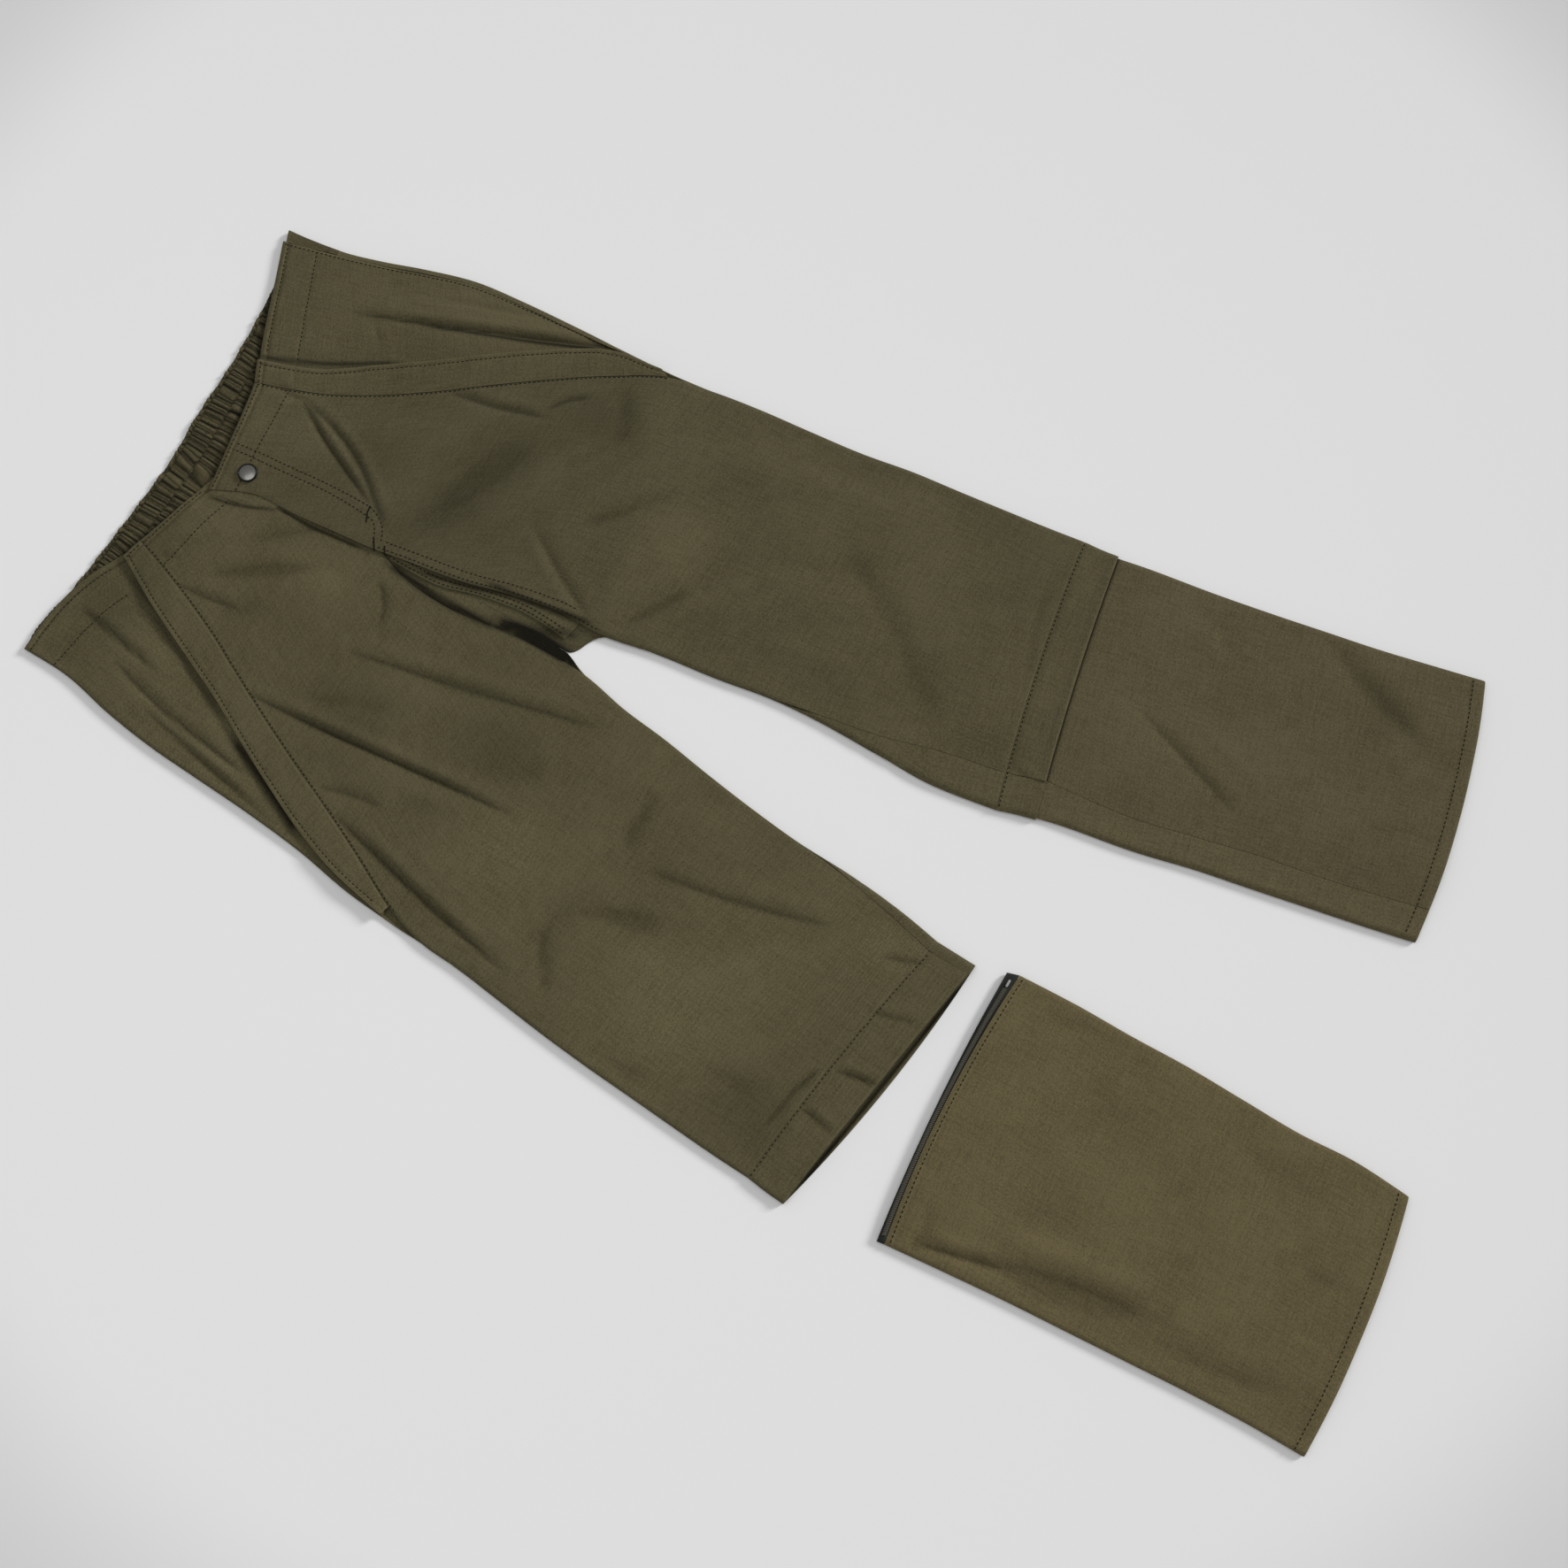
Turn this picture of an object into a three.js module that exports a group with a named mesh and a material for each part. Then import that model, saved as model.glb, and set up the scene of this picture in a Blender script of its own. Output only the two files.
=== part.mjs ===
// Convertible zip-off trousers laid flat, front side up. One lower leg is zipped off and laid beside its leg.
// Millimetres. +Z is up from the surface, the waist is at +Y, the complete leg is at +X.
import * as THREE from "three";

// Driving sizes
const layer = 1.2; // wall of one layer of cloth
const seamGap = 0.3; // between two sewn pieces
const legTop = 5.2; // top of a leg's folded edge: two layers and the air between them
const foldRadius = 4; // width over which the folded edge turns
const crown = 0.8; // how much higher the middle of a leg lies than its edges
const crownWidth = 60; // distance from the edge at which the crown is reached
const deepest = 2.2; // most that a trough may sink into a leg
const flyLift = 1.8; // fly edge above the level of the fronts, and the front under it below that level
const shieldTop = 5.5; // fly shield, between the two
const bandLift = 1; // pocket band above its front
const sideSunk = 1; // side panel below it, where it runs on under the band
const sideFolds = 0.7; // the side panels lie lower, so their folds are shallower
const tuck = 0.4; // how far the side panel runs on under the band, as a part of the band's width
const sunkWidth = { from: 8, over: 20 }; // from the side panel's inner edge, where it comes up again
const waistBow = 8; // how far the short leg's side panel curves up at the waist
const bowEnd = 0.2; // part of its length over which that dies out
const sunkEnd = { from: 0.7, over: 0.25 }; // along the side panel, where all its width is sunk
const calm = { leg: 26, pocket: 12 }; // width beside a folded edge over which the folds die out
const nestedFloor = 1.5; // underside of what lies inside a knee flap
const nestedTop = 4.2; // and its top there
const coilLift = 1.5; // zip coil above its tape
const coilEnds = { out: 14, in: 6 }; // the coil ends this far inside the folded edges
const pin = { length: 7, width: 3, height: 1.6 }; // end of the loose leg's zip
const pinInside = 9.5; // its middle from the folded edge
const stud = { x: -2, y: 511, radius: 8, height: 2.6, lift: 0.5, sides: 28 }; // press stud on the fly
const gathers = 58; // along the elastic waistband
const gatherHeight = 1.6; // a gather above the band's plain wall
const gatherFoot = 0.1; // the same in the hollow between two
const gatherUneven = { height: 0.25, heightStep: 1.7, place: 0.3, placeStep: 2.4 }; // how they vary
const boxMiddle = { x: 40, y: 10.7 }; // middle of the tables' sizes, moved to the origin below

// Colours
const olive = 0x524c36;
const darkOlive = 0x3d3827;
const looseOlive = 0x5c543d;
const charcoal = 0x24241f;
const coilGrey = 0x7a776b;
const pinGrey = 0xa9a69b;
const gunmetal = 0x6f6d68;

// A table's rows as objects with the columns' names.
function table(columns, ...rows) {
  const named = (row) => Object.fromEntries(columns.map((column, i) => [column, row[i]]));
  return rows.map(named);
}

// Sections of the fronts, from the waist to the knee. out is the side away from the fork, in the other side.
// A seam lies that far inside the folded edge, bow lifts the section's middle towards the waist,
// and drop is 1 where the edge is folded and 0 where it is cut.
const legColumns = ["outX", "outY", "outSeam", "outDrop", "inX", "inY", "inSeam", "inDrop", "bow"];
const leftFront = table(
  legColumns,
  [68, 553, 0, 0, -30, 531, 0, 0, -1],
  [86, 504, 0, 0, -14, 496, 0, 0, 0],
  [110, 462, 0, 0, -12, 461, 0, 0, 0],
  [137, 423, 0, 0, -8, 425, 0, 0, 0],
  [165, 386, 0, 0, -4, 388, 0, 0, 0],
  [199, 341, 0, 0, 3, 348, 0, 0, 0],
  [226, 302, 0, 0, 10, 308, 0, 0, 0],
  [249, 262, 0, 0.4, 21, 268, 0, 0, 0],
  [258, 222, 0, 1, 28, 230, 0, 0.3, 0],
  [264, 181, 0, 1, 30, 186, 0, 1, 0],
  [268.5, 136, 0, 1, 39.5, 140, 0, 1, 0],
  [273.5, 90, 0, 1, 46, 92, 0, 1, 0],
  [281, 46, 0, 1, 54, 46, 0, 1, 0],
  [286, 3, 0, 1, 57.5, 2, 5, 1, 0],
  [291, -38, 0, 1, 58, -48, 14, 1, 1],
  [295.5, -74, 0, 1, 58.5, -100, 28, 1, 3],
  [300, -105, 0, 1, 67, -155, 31, 1, 4],
);
const rightFront = table(
  legColumns,
  [-95, 554, 0, 0, -6, 532, 0, 0, -1],
  [-109, 512, 0, 0, 8, 496, 0, 0, 0],
  [-129, 462, 0, 0, 10, 461, 0, 0, 0],
  [-147, 425, 0, 0, 12, 428, 0, 0, 0],
  [-166, 385, 0, 0, 4, 396, 0, 0, 0],
  [-184, 345, 0, 0, -11, 352, 0, 1, 0],
  [-203, 300, 0, 0, -14, 305, 0, 1, 0],
  [-222, 258, 0, 0, -8, 262, 0, 1, 0],
  [-244, 212, 0, 0.4, -5, 222, 0, 1, 0],
  [-255, 175, 0, 1, -5.5, 182, 0, 1, 0],
  [-257.5, 138, 0, 1, -13.5, 140, 0, 1, 0],
  [-262, 97, 0, 1, -18, 100, 0, 1, 0],
  [-266.5, 56, 0, 1, -25, 55, 0, 1, 0],
  [-270, 14, 0, 1, -31, 10, 0, 1, 0],
  [-272.5, -28, 0, 1, -35.5, -36, 0, 1, 0],
  [-275, -68, 0, 1, -37, -82, 4, 1, 2],
  [-277, -104, 0, 1, -41, -127, 8, 1, 3],
  [-278, -135, 0, 1, -48, -168, 10, 1, 4],
);

// Pocket mouths, a row for each of the front's first sections. The band lies between the mouth and the front.
const mouthColumns = ["x", "y"];
const leftMouth = table(
  mouthColumns,
  [86, 562],
  [104, 515],
  [132, 476],
  [160, 438],
  [189, 399],
  [222, 354],
  [245, 314],
  [252, 270],
);
const rightMouth = table(
  mouthColumns,
  [-113, 557],
  [-136, 512],
  [-158, 462],
  [-174, 425],
  [-194, 385],
  [-213, 345],
  [-231, 303],
  [-244, 262],
  [-252.7, 214],
);

// Hips from the waist down to the fork: the outline, with the side seam on top where the back wraps over it.
// Their in side is the centre back seam. The waistband lies above the second row.
const bandFoot = 533.5;
const leftHip = table(
  legColumns,
  [200, 609, 12, 1, 4, 575, 0, 0, 0],
  [206, 561, 6, 1, 4, bandFoot, 0, 0, 0],
  [216, 525, 5, 1, 4, 495, 0, 0, 0],
  [229, 488, 5, 1, 4, 457, 0, 0, 0],
  [241, 446, 5, 1, 4, 418, 0, 0, 0],
  [246, 400, 5, 1, 4, 379, 0, 0, 0],
  [249, 352, 5, 1, 4, 340, 0, 0, 0],
  [251, 306, 3, 1, 4, 300, 0, 0, 0],
  [253.5, 262, 0, 1, 4, 256, 0, 0, 0],
  [258, 222, 0, 1, 4, 214, 0, 0, 0],
  [261.2, 201.6, 0, 1, 7, 201, 0, 0.2, 0],
);
const rightHip = table(
  legColumns,
  [-218.5, 580, 0, 1, 4, 575, 0, 0, 0],
  [-219.5, 537, 0, 1, 4, bandFoot, 0, 0, 0],
  [-228, 492, 0, 1, 4, 495, 0, 0, 0],
  [-233.5, 447, 0, 1, 4, 457, 0, 0, 0],
  [-236, 400, 0, 1, 4, 418, 0, 0, 0],
  [-238.5, 350, 0, 1, 4, 379, 0, 0, 0],
  [-243, 298, 0, 1, 4, 330, 0, 0, 0],
  [-250.5, 250, 0, 1, 4, 270, 0, 0, 0],
  [-253.5, 212, 0, 1, 4, 214, 0, 0, 0],
  [-254.6, 194, 0, 1, 3, 203, 0, 0.2, 0],
);
// Upper edge of the waistband, from the complete leg's side to the short leg's.
const bandEdge = table(
  ["x", "y"],
  [200, 609],
  [155, 592],
  [82, 581.5],
  [18, 578.5],
  [-26, 574],
  [-100, 575],
  [-159, 577.5],
  [-190, 582],
  [-218.5, 581],
);

// Tubes below the knee: base and top are the heights of the underside and of the folded edge's top.
const tubeColumns = ["outX", "outY", "inX", "inY", "inSeam", "bow", "base", "top"];
const lowerLeg = table(
  tubeColumns,
  [299.6, -120.8, 73.6, -170.2, 31, 4, nestedFloor, nestedTop],
  [301.6, -135.6, 77.6, -185, 31, 3, nestedFloor, nestedTop],
  [307, -164, 84, -212, 27, 0, 0.2, 5],
  [315, -216, 93, -262, 25, -1, 0, legTop],
  [324, -266, 105, -311, 25, -2, 0, legTop],
  [332.5, -309, 114, -355, 27, -3, 0, legTop],
  [341, -352, 123, -398, 26, -4, 0, legTop],
  [351, -395, 132, -441, 27, -6, 0, legTop],
  [361, -437, 142, -485, 28, -8, 0, legTop],
);
const looseLeg = table(
  tubeColumns,
  [-38, -235, -267.5, -248, 0, 7, 0, legTop],
  [-35.5, -284, -262, -297, 0, 4, 0, legTop],
  [-35, -332, -257, -345, 0, 2, 0, legTop],
  [-33.5, -379, -253, -393, 0, 1, 0, legTop],
  [-34, -427, -249, -442, 0, 0, 0, legTop],
  [-34.5, -475, -245, -490, 0, -2, 0, legTop],
  [-31.5, -522, -242, -539, 0, -4, 0, legTop],
  [-34, -568, -241, -587, 0, -6, 0, legTop],
);
// Knee flaps, from the seam line to the free edge. The back of the short leg's flap looks out past its front.
const leftFlap = table(
  tubeColumns,
  [300, -105, 67, -155, 31, 4, 0, 5.7],
  [301, -120, 72, -170, 31, 4, 0, 5.9],
  [303, -135, 76, -185, 31, 3, 0, 6],
);
const rightFlap = table(
  tubeColumns,
  [-278, -135, -48, -168, 10, 4, 0, 5.7],
  [-280, -152, -48.5, -185, 10, 3, 0, 5.8],
  [-281, -168, -49, -202, 10, 1, 0, 5.8],
);
const rightFlapBack = rightFlap.map((row, i) => ({ ...row, bow: [4, 0, -6][i] }));
// The loose leg's zip tape, from the cloth's edge to its own.
const looseTape = table(
  tubeColumns,
  [-38, -235, -267.5, -248, 0, 7, 0, legTop],
  [-41, -225.5, -268.5, -242, 0, 4, 0, 4.8],
);

// Band in the fork, under the complete leg's stitched edge and open to the short leg's folded one.
const forkColumns = ["outX", "outY", "inX", "inY", "top"];
const forkBand = table(
  forkColumns,
  [6, 372, -4, 372, 2.6],
  [7, 352, -4, 354, 2.9],
  [12, 321, -2, 324, 2.9],
  [20, 289, 7, 294, 2.9],
  [28, 258, 13, 262, 2.9],
  [32, 233, 14, 240, 2.9],
  [34, 209, 12, 213, 2.9],
);
// Fly shield, from under the fly edge to its own edge that looks out.
const flyShield = table(
  forkColumns,
  [20, 536, -33, 529, shieldTop],
  [20, 515, -29, 514, shieldTop],
  [20, 498, -26, 498, shieldTop],
  [19, 484, -24, 483, shieldTop],
  [12, 474, -14, 474, shieldTop],
);

// Largest folds of the fronts: a path of three points, how wide it is and how high. A trough is below zero.
const creaseColumns = ["x1", "y1", "x2", "y2", "x3", "y3", "width", "height"];
const folds = table(
  creaseColumns,
  [166, 503, 198, 430, 230, 364, 8, -1.6],
  [190, 520, 218, 440, 248, 340, 9, 1.2],
  [112, 540, 150, 500, 178, 470, 14, 0.8],
  [6, 379, 82, 358, 145, 334, 20, -1.8],
  [40, 420, 110, 392, 170, 372, 16, 0.9],
  [30, 340, 95, 318, 160, 300, 16, 0.9],
  [42, 208, 58, 236, 78, 276, 10, -1.2],
  [50, 185, 72, 161, 110, 150, 11, -1.2],
  [150, 401, 161, 344, 194, 310, 11, -1.2],
  [216, 280, 180, 266, 147, 256, 18, -1],
  [100, 254, 137, 209, 196, 185, 20, 1.2],
  [70, 505, 50, 453, 30, 415, 8, -0.9],
  [90, 480, 66, 440, 44, 400, 9, 0.9],
  [-153, 391, -150, 290, -124, 161, 10, -1.9],
  [-172, 370, -168, 280, -150, 180, 12, 1.2],
  [-128, 330, -122, 260, -98, 160, 14, 1.1],
  [-84, 334, -68, 256, -32, 147, 13, -1.3],
  [-107, 510, -84, 468, -57, 440, 9, -1],
  [-65, 476, -45, 456, -24, 436, 9, -0.9],
  [-202, 287, -222, 205, -256, 62, 10, -1.5],
  [-190, 250, -208, 170, -232, 60, 13, 1.1],
  [-112, 50, -105, 10, -95, -36, 15, -1.3],
  [-194, 92, -154, 58, -140, 18, 20, -1.8],
  [-110, 92, -88, 76, -60, 64, 14, -1],
  [-257, 32, -257, -6, -258, -37, 10, -1],
  [-188, 514, -214, 430, -240, 290, 8, -1.5],
  [-205, 520, -226, 440, -240, 340, 8, 0.9],
  [180, -270, 165, -309, 150, -330, 15, -1],
  [319, -323, 300, -368, 294, -395, 12, -1],
  [-250, -272, -243, -310, -229, -356, 9, -1.3],
  [-229, -453, -227, -503, -212, -560, 10, -1.4],
  [-214, -440, -210, -500, -194, -560, 12, 0.8],
);
const foldSteps = 10;
const foldPaths = folds.map((fold) => {
  const start = new THREE.Vector2(fold.x1, fold.y1);
  const middle = new THREE.Vector2(fold.x2, fold.y2);
  const end = new THREE.Vector2(fold.x3, fold.y3);
  return { ...fold, points: new THREE.SplineCurve([start, middle, end]).getPoints(foldSteps) };
});

const smooth = (t) => THREE.MathUtils.smoothstep(t, 0, 1);
const mix = THREE.MathUtils.lerp;

// Distance from a point to the nearest stretch of a path.
function distanceTo(points, x, y) {
  let nearest = Infinity;
  for (let i = 1; i < points.length; i += 1) {
    const a = points[i - 1];
    const dx = points[i].x - a.x;
    const dy = points[i].y - a.y;
    const t = THREE.MathUtils.clamp(((x - a.x) * dx + (y - a.y) * dy) / (dx * dx + dy * dy), 0, 1);
    nearest = Math.min(nearest, Math.hypot(x - a.x - t * dx, y - a.y - t * dy));
  }
  return nearest;
}

// Height of the folds at a point: the sum of their bell-shaped sections, held above the layer below.
function relief(x, y) {
  let sum = 0;
  for (const fold of foldPaths) {
    sum += fold.height * Math.exp(-((distanceTo(fold.points, x, y) / fold.width) ** 2));
  }
  return sum < 0 ? -deepest * Math.tanh(-sum / deepest) : sum;
}

// A section between two rows of a table, on a smooth curve through all of them. What stays never overshoots.
const stays = new Set(["outSeam", "inSeam", "outDrop", "inDrop", "base", "top"]);
function sectionAt(rows, v) {
  const at = v * (rows.length - 1);
  const i = Math.min(Math.floor(at), rows.length - 2);
  const t = at - i;
  const row = (k) => rows[THREE.MathUtils.clamp(k, 0, rows.length - 1)];
  const section = {};
  for (const key of Object.keys(rows[0])) {
    const [a, b, c, d] = [row(i - 1)[key], row(i)[key], row(i + 1)[key], row(i + 2)[key]];
    const bend = (2 * a - 5 * b + 4 * c - d) * t * t + (3 * b - 3 * c + d - a) * t ** 3;
    const curve = b + ((c - a) * t + bend) / 2;
    section[key] = stays.has(key) ? THREE.MathUtils.clamp(curve, Math.min(b, c), Math.max(b, c)) : curve;
  }
  return section;
}

// Fills in what a table leaves out.
const plain = { outSeam: 0, outDrop: 1, inSeam: 0, inDrop: 1, bow: 0, base: 0, top: legTop };

// A place on a section, by its distance from the outer outline.
function place(section, distance) {
  const dx = section.inX - section.outX;
  const dy = section.inY - section.outY;
  const width = Math.hypot(dx, dy);
  const side = dx > 0 ? 1 : -1;
  const f = distance / width;
  const bow = (4 * f * (1 - f) * section.bow * side) / width;
  return { x: section.outX + dx * f - dy * bow, y: section.outY + dy * f + dx * bow, width };
}

const turned = (distance) => Math.sqrt(1 - (1 - Math.min(distance / foldRadius, 1)) ** 2);

// A point of a front: face 0 is the outside of the cloth, 1 the inside.
function frontPoint(section, distance, face, options) {
  const { width } = place(section, distance);
  const fromOut = distance;
  const fromIn = width - distance;
  const inset = face * layer;
  const half = (section.top - section.base) / 2 - inset;
  const outTurn = section.outDrop * (1 - turned(fromOut));
  const inTurn = section.inDrop * (1 - turned(fromIn));
  const shiftOut = section.outDrop * inset * Math.max(0, 1 - fromOut / foldRadius);
  const shiftIn = section.inDrop * inset * Math.max(0, 1 - fromIn / foldRadius);
  const { x, y } = place(section, distance + shiftOut - shiftIn);
  const outCalm = 1 - section.outDrop * (1 - smooth(fromOut / options.calm));
  const inCalm = 1 - section.inDrop * (1 - smooth(fromIn / options.calm));
  const swell = options.crown * smooth(Math.min(fromOut, fromIn) / crownWidth);
  const rise = options.folds * relief(x, y) + swell;
  const lift = options.lift ? options.lift(x, y, fromIn, section) : 0;
  const z = section.top - inset - half * Math.min(1, outTurn + inTurn);
  return [x, y, z + (rise * outCalm * inCalm + lift) * (1 - outTurn) * (1 - inTurn)];
}

// Distances of a front's columns: even across it, with closer ones where it may have folded edges.
function frontColumnsAt(section, evenColumns, folded) {
  const { width } = place(section, 0);
  const start = section.outSeam + seamGap / 2;
  const end = width - section.inSeam - seamGap / 2;
  const edge = folded ? Math.min(foldRadius, (end - start) / 5) : 0;
  const near = folded ? [0, 0.25 * edge] : [];
  const between = (part) => mix(start + edge, end - edge, part);
  const even = Array.from({ length: evenColumns + 1 }, (_, i) => between(i / evenColumns));
  return [...near.map((d) => start + d), ...even, ...near.reverse().map((d) => end - d)];
}

// A closed wall between an outer and an inner grid of points.
function wall(outer, inner) {
  const rows = outer.length;
  const columns = outer[0].length;
  const positions = [...outer.flat(), ...inner.flat()];
  const at = (face, i, j) => face * rows * columns + i * columns + j;
  const triangles = [];
  const quad = (a, b, c, d) => triangles.push([a, b, c], [a, c, d]);
  for (let i = 1; i < rows; i += 1) {
    for (let j = 1; j < columns; j += 1) {
      quad(at(0, i - 1, j - 1), at(0, i, j - 1), at(0, i, j), at(0, i - 1, j));
      quad(at(1, i - 1, j - 1), at(1, i - 1, j), at(1, i, j), at(1, i, j - 1));
    }
    quad(at(0, i, 0), at(0, i - 1, 0), at(1, i - 1, 0), at(1, i, 0));
    quad(at(0, i - 1, columns - 1), at(0, i, columns - 1), at(1, i, columns - 1), at(1, i - 1, columns - 1));
  }
  for (let j = 1; j < columns; j += 1) {
    quad(at(0, 0, j - 1), at(0, 0, j), at(1, 0, j), at(1, 0, j - 1));
    quad(at(0, rows - 1, j), at(0, rows - 1, j - 1), at(1, rows - 1, j - 1), at(1, rows - 1, j));
  }
  const [a, b, c] = [new THREE.Vector3(), new THREE.Vector3(), new THREE.Vector3()];
  let volume = 0;
  for (const [i, j, k] of triangles) {
    volume += a.fromArray(positions[i]).dot(b.fromArray(positions[j]).cross(c.fromArray(positions[k])));
  }
  const index = triangles.flatMap(([i, j, k]) => (volume < 0 ? [i, k, j] : [i, j, k]));
  const geometry = new THREE.BufferGeometry();
  geometry.setAttribute("position", new THREE.Float32BufferAttribute(positions.flat(), 3));
  geometry.setIndex(index);
  geometry.computeVertexNormals();
  return geometry;
}

// A way along a table's rows, from one part of it to another.
function along(rows, from = 0, to = 1) {
  return (v) => ({ ...plain, ...sectionAt(rows, mix(from, to, v)) });
}

// The points of each section along a way, a row for each step.
function grid(sectionOf, steps, pointsOf) {
  return Array.from({ length: steps + 1 }, (_, i) => pointsOf(sectionOf(i / steps)));
}

// A panel lying on top, from seam to seam.
function frontWall(sectionOf, steps, columns, options = {}) {
  const settings = { calm: calm.leg, folds: 1, crown, lift: null, folded: true, ...options };
  const face = (side) => (section) =>
    frontColumnsAt(section, columns, settings.folded).map((d) => frontPoint(section, d, side, settings));
  return wall(grid(sectionOf, steps, face(0)), grid(sectionOf, steps, face(1)));
}

// A point of a back, by its way round the folded edge: above zero on top, below zero underneath.
function backPoint(section, way, towardsIn, face) {
  const { width } = place(section, 0);
  const inset = face * layer;
  const drop = towardsIn ? section.inDrop : section.outDrop;
  const onFold = Math.abs(way) < foldRadius;
  const angle = (Math.min(Math.abs(way) / foldRadius, 1) * Math.PI) / 2;
  const out = onFold ? foldRadius * (1 - Math.cos(angle)) : Math.abs(way);
  const flatWay = Math.abs(way);
  const distance = mix(flatWay, out, drop) + drop * inset * Math.max(0, 1 - out / foldRadius);
  const half = (section.top - section.base) / 2;
  const sign = way > 0 ? 1 : -1;
  const folded = section.base + half + sign * (half - inset) * Math.sin(angle);
  const flat = section.base + inset;
  const { x, y } = place(section, towardsIn ? width - distance : distance);
  return [x, y, mix(flat, folded, drop)];
}

const foldColumns = 4; // round each folded edge of a back

// Way round one folded edge, from the seam on top, part 0, to the underside, part 1.
function foldWay(seam, part) {
  const total = seam - seamGap / 2 + foldRadius;
  return total * (1 - part) ** 1.4 - foldRadius;
}

const foldWays = (seam) => Array.from({ length: foldColumns + 1 }, (_, i) => foldWay(seam, i / foldColumns));

// A panel lying underneath and wrapped round the folded edges to its seams on top.
function backWall(sectionOf, steps, columns) {
  const face = (side) => (section) => {
    const { width } = place(section, 0);
    const outWays = foldWays(section.outSeam);
    const inWays = foldWays(section.inSeam).reverse();
    const even = Array.from({ length: columns - 1 }, (_, i) =>
      mix(foldRadius, width - foldRadius, (i + 1) / columns),
    );
    return [
      ...outWays.map((way) => backPoint(section, way, false, side)),
      ...even.map((distance) => backPoint(section, -distance, false, side)),
      ...inWays.map((way) => backPoint(section, way, true, side)),
    ];
  };
  return wall(grid(sectionOf, steps, face(0)), grid(sectionOf, steps, face(1)));
}

const root = new THREE.Group();
root.name = "zip_off_trousers";
const garment = new THREE.Group();
garment.position.set(-boxMiddle.x, -boxMiddle.y, 0);
root.add(garment);

function add(name, geometry, color, roughness = 0.9, metalness = 0) {
  const mesh = new THREE.Mesh(geometry, new THREE.MeshStandardMaterial({ color, roughness, metalness }));
  mesh.name = name;
  garment.add(mesh);
}

// Fronts. The complete leg's fly edge is lifted over the short leg's front, which sinks under it.
// Each is full at one place and gone over a width from there, across the fly and along it.
const upperFrom = { x: 24, xOver: 40, y: 335, yOver: 40 };
const underFrom = { x: -56, xOver: 22, y: 368, yOver: 24 };
const flyUpper = (x, y) =>
  flyLift * (1 - smooth((x - upperFrom.x) / upperFrom.xOver)) * smooth((y - upperFrom.y) / upperFrom.yOver);
const flyUnder = (x, y) =>
  -flyLift * smooth((x - underFrom.x) / underFrom.xOver) * smooth((y - underFrom.y) / underFrom.yOver);
const gapRow = 0.0004; // a seam's gap at the end of a front, as a part of its length
const forkRow = 9; // the fronts' row at the fork
const backAcross = 2; // even columns of a back
const frontAcross = 12; // even columns of a front and of the flap sewn to it
function front(name, rows, lift) {
  const steps = 2 * (rows.length - 1);
  add(name, frontWall(along(rows, 0, 1 - gapRow), steps, frontAcross, { lift }), olive);
}
front("front_left", leftFront, flyUpper);
front("front_right", rightFront, flyUnder);

// Pocket bands between the mouth and the front, and the side panels that run on under them to the side seam.
function pocket(side, front, mouth, hip, bow) {
  const mouthRows = mouth.length - 1;
  const open = (v) => sectionAt(mouth, v);
  const edge = (v) => sectionAt(front, (v * mouthRows) / (front.length - 1));
  const band = (v) => ({
    ...plain,
    outX: open(v).x,
    outY: open(v).y,
    outDrop: 0,
    inX: edge(v).outX,
    inY: edge(v).outY,
    inDrop: 0,
  });
  const bandOptions = { lift: () => bandLift, folded: false };
  add("pocket_band_" + side, frontWall(band, 2 * mouthRows, 1, bandOptions), olive);
  const panel = (v) => {
    const outline = sectionAt(hip, (v * mouthRows) / (hip.length - 1));
    const seam = place(outline, outline.outSeam);
    return {
      ...plain,
      outX: seam.x,
      outY: seam.y,
      outDrop: outline.outSeam > 0 ? 0 : 1,
      inX: mix(open(v).x, edge(v).outX, tuck),
      inY: mix(open(v).y, edge(v).outY, tuck),
      inDrop: 0,
      bow: bow * (1 - smooth(v / bowEnd)),
      sunk: smooth((v - sunkEnd.from) / sunkEnd.over),
    };
  };
  const sink = (x, y, fromIn, section) =>
    -sideSunk * Math.max(section.sunk, 1 - smooth((fromIn - sunkWidth.from) / sunkWidth.over));
  const options = { lift: sink, calm: calm.pocket, folds: sideFolds };
  add("pocket_side_" + side, frontWall(panel, 2 * mouthRows, 6, options), olive);
}
pocket("left", leftFront, leftMouth, [...leftHip, ...leftFront.slice(forkRow)], 0);
pocket("right", rightFront, rightMouth, [...rightHip, ...rightFront.slice(forkRow)], waistBow);

// Backs, from the waistband's foot to the knee.
function back(name, hip, leg) {
  const rows = [...hip, ...leg];
  const last = rows.length - 1;
  add(name, backWall(along(rows, 1 / last, 1 - gapRow), 2 * (last - 1), backAcross), olive);
}
back("back_left", leftHip, leftFront.slice(forkRow));
back("back_right", rightHip, rightFront.slice(forkRow));

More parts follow.
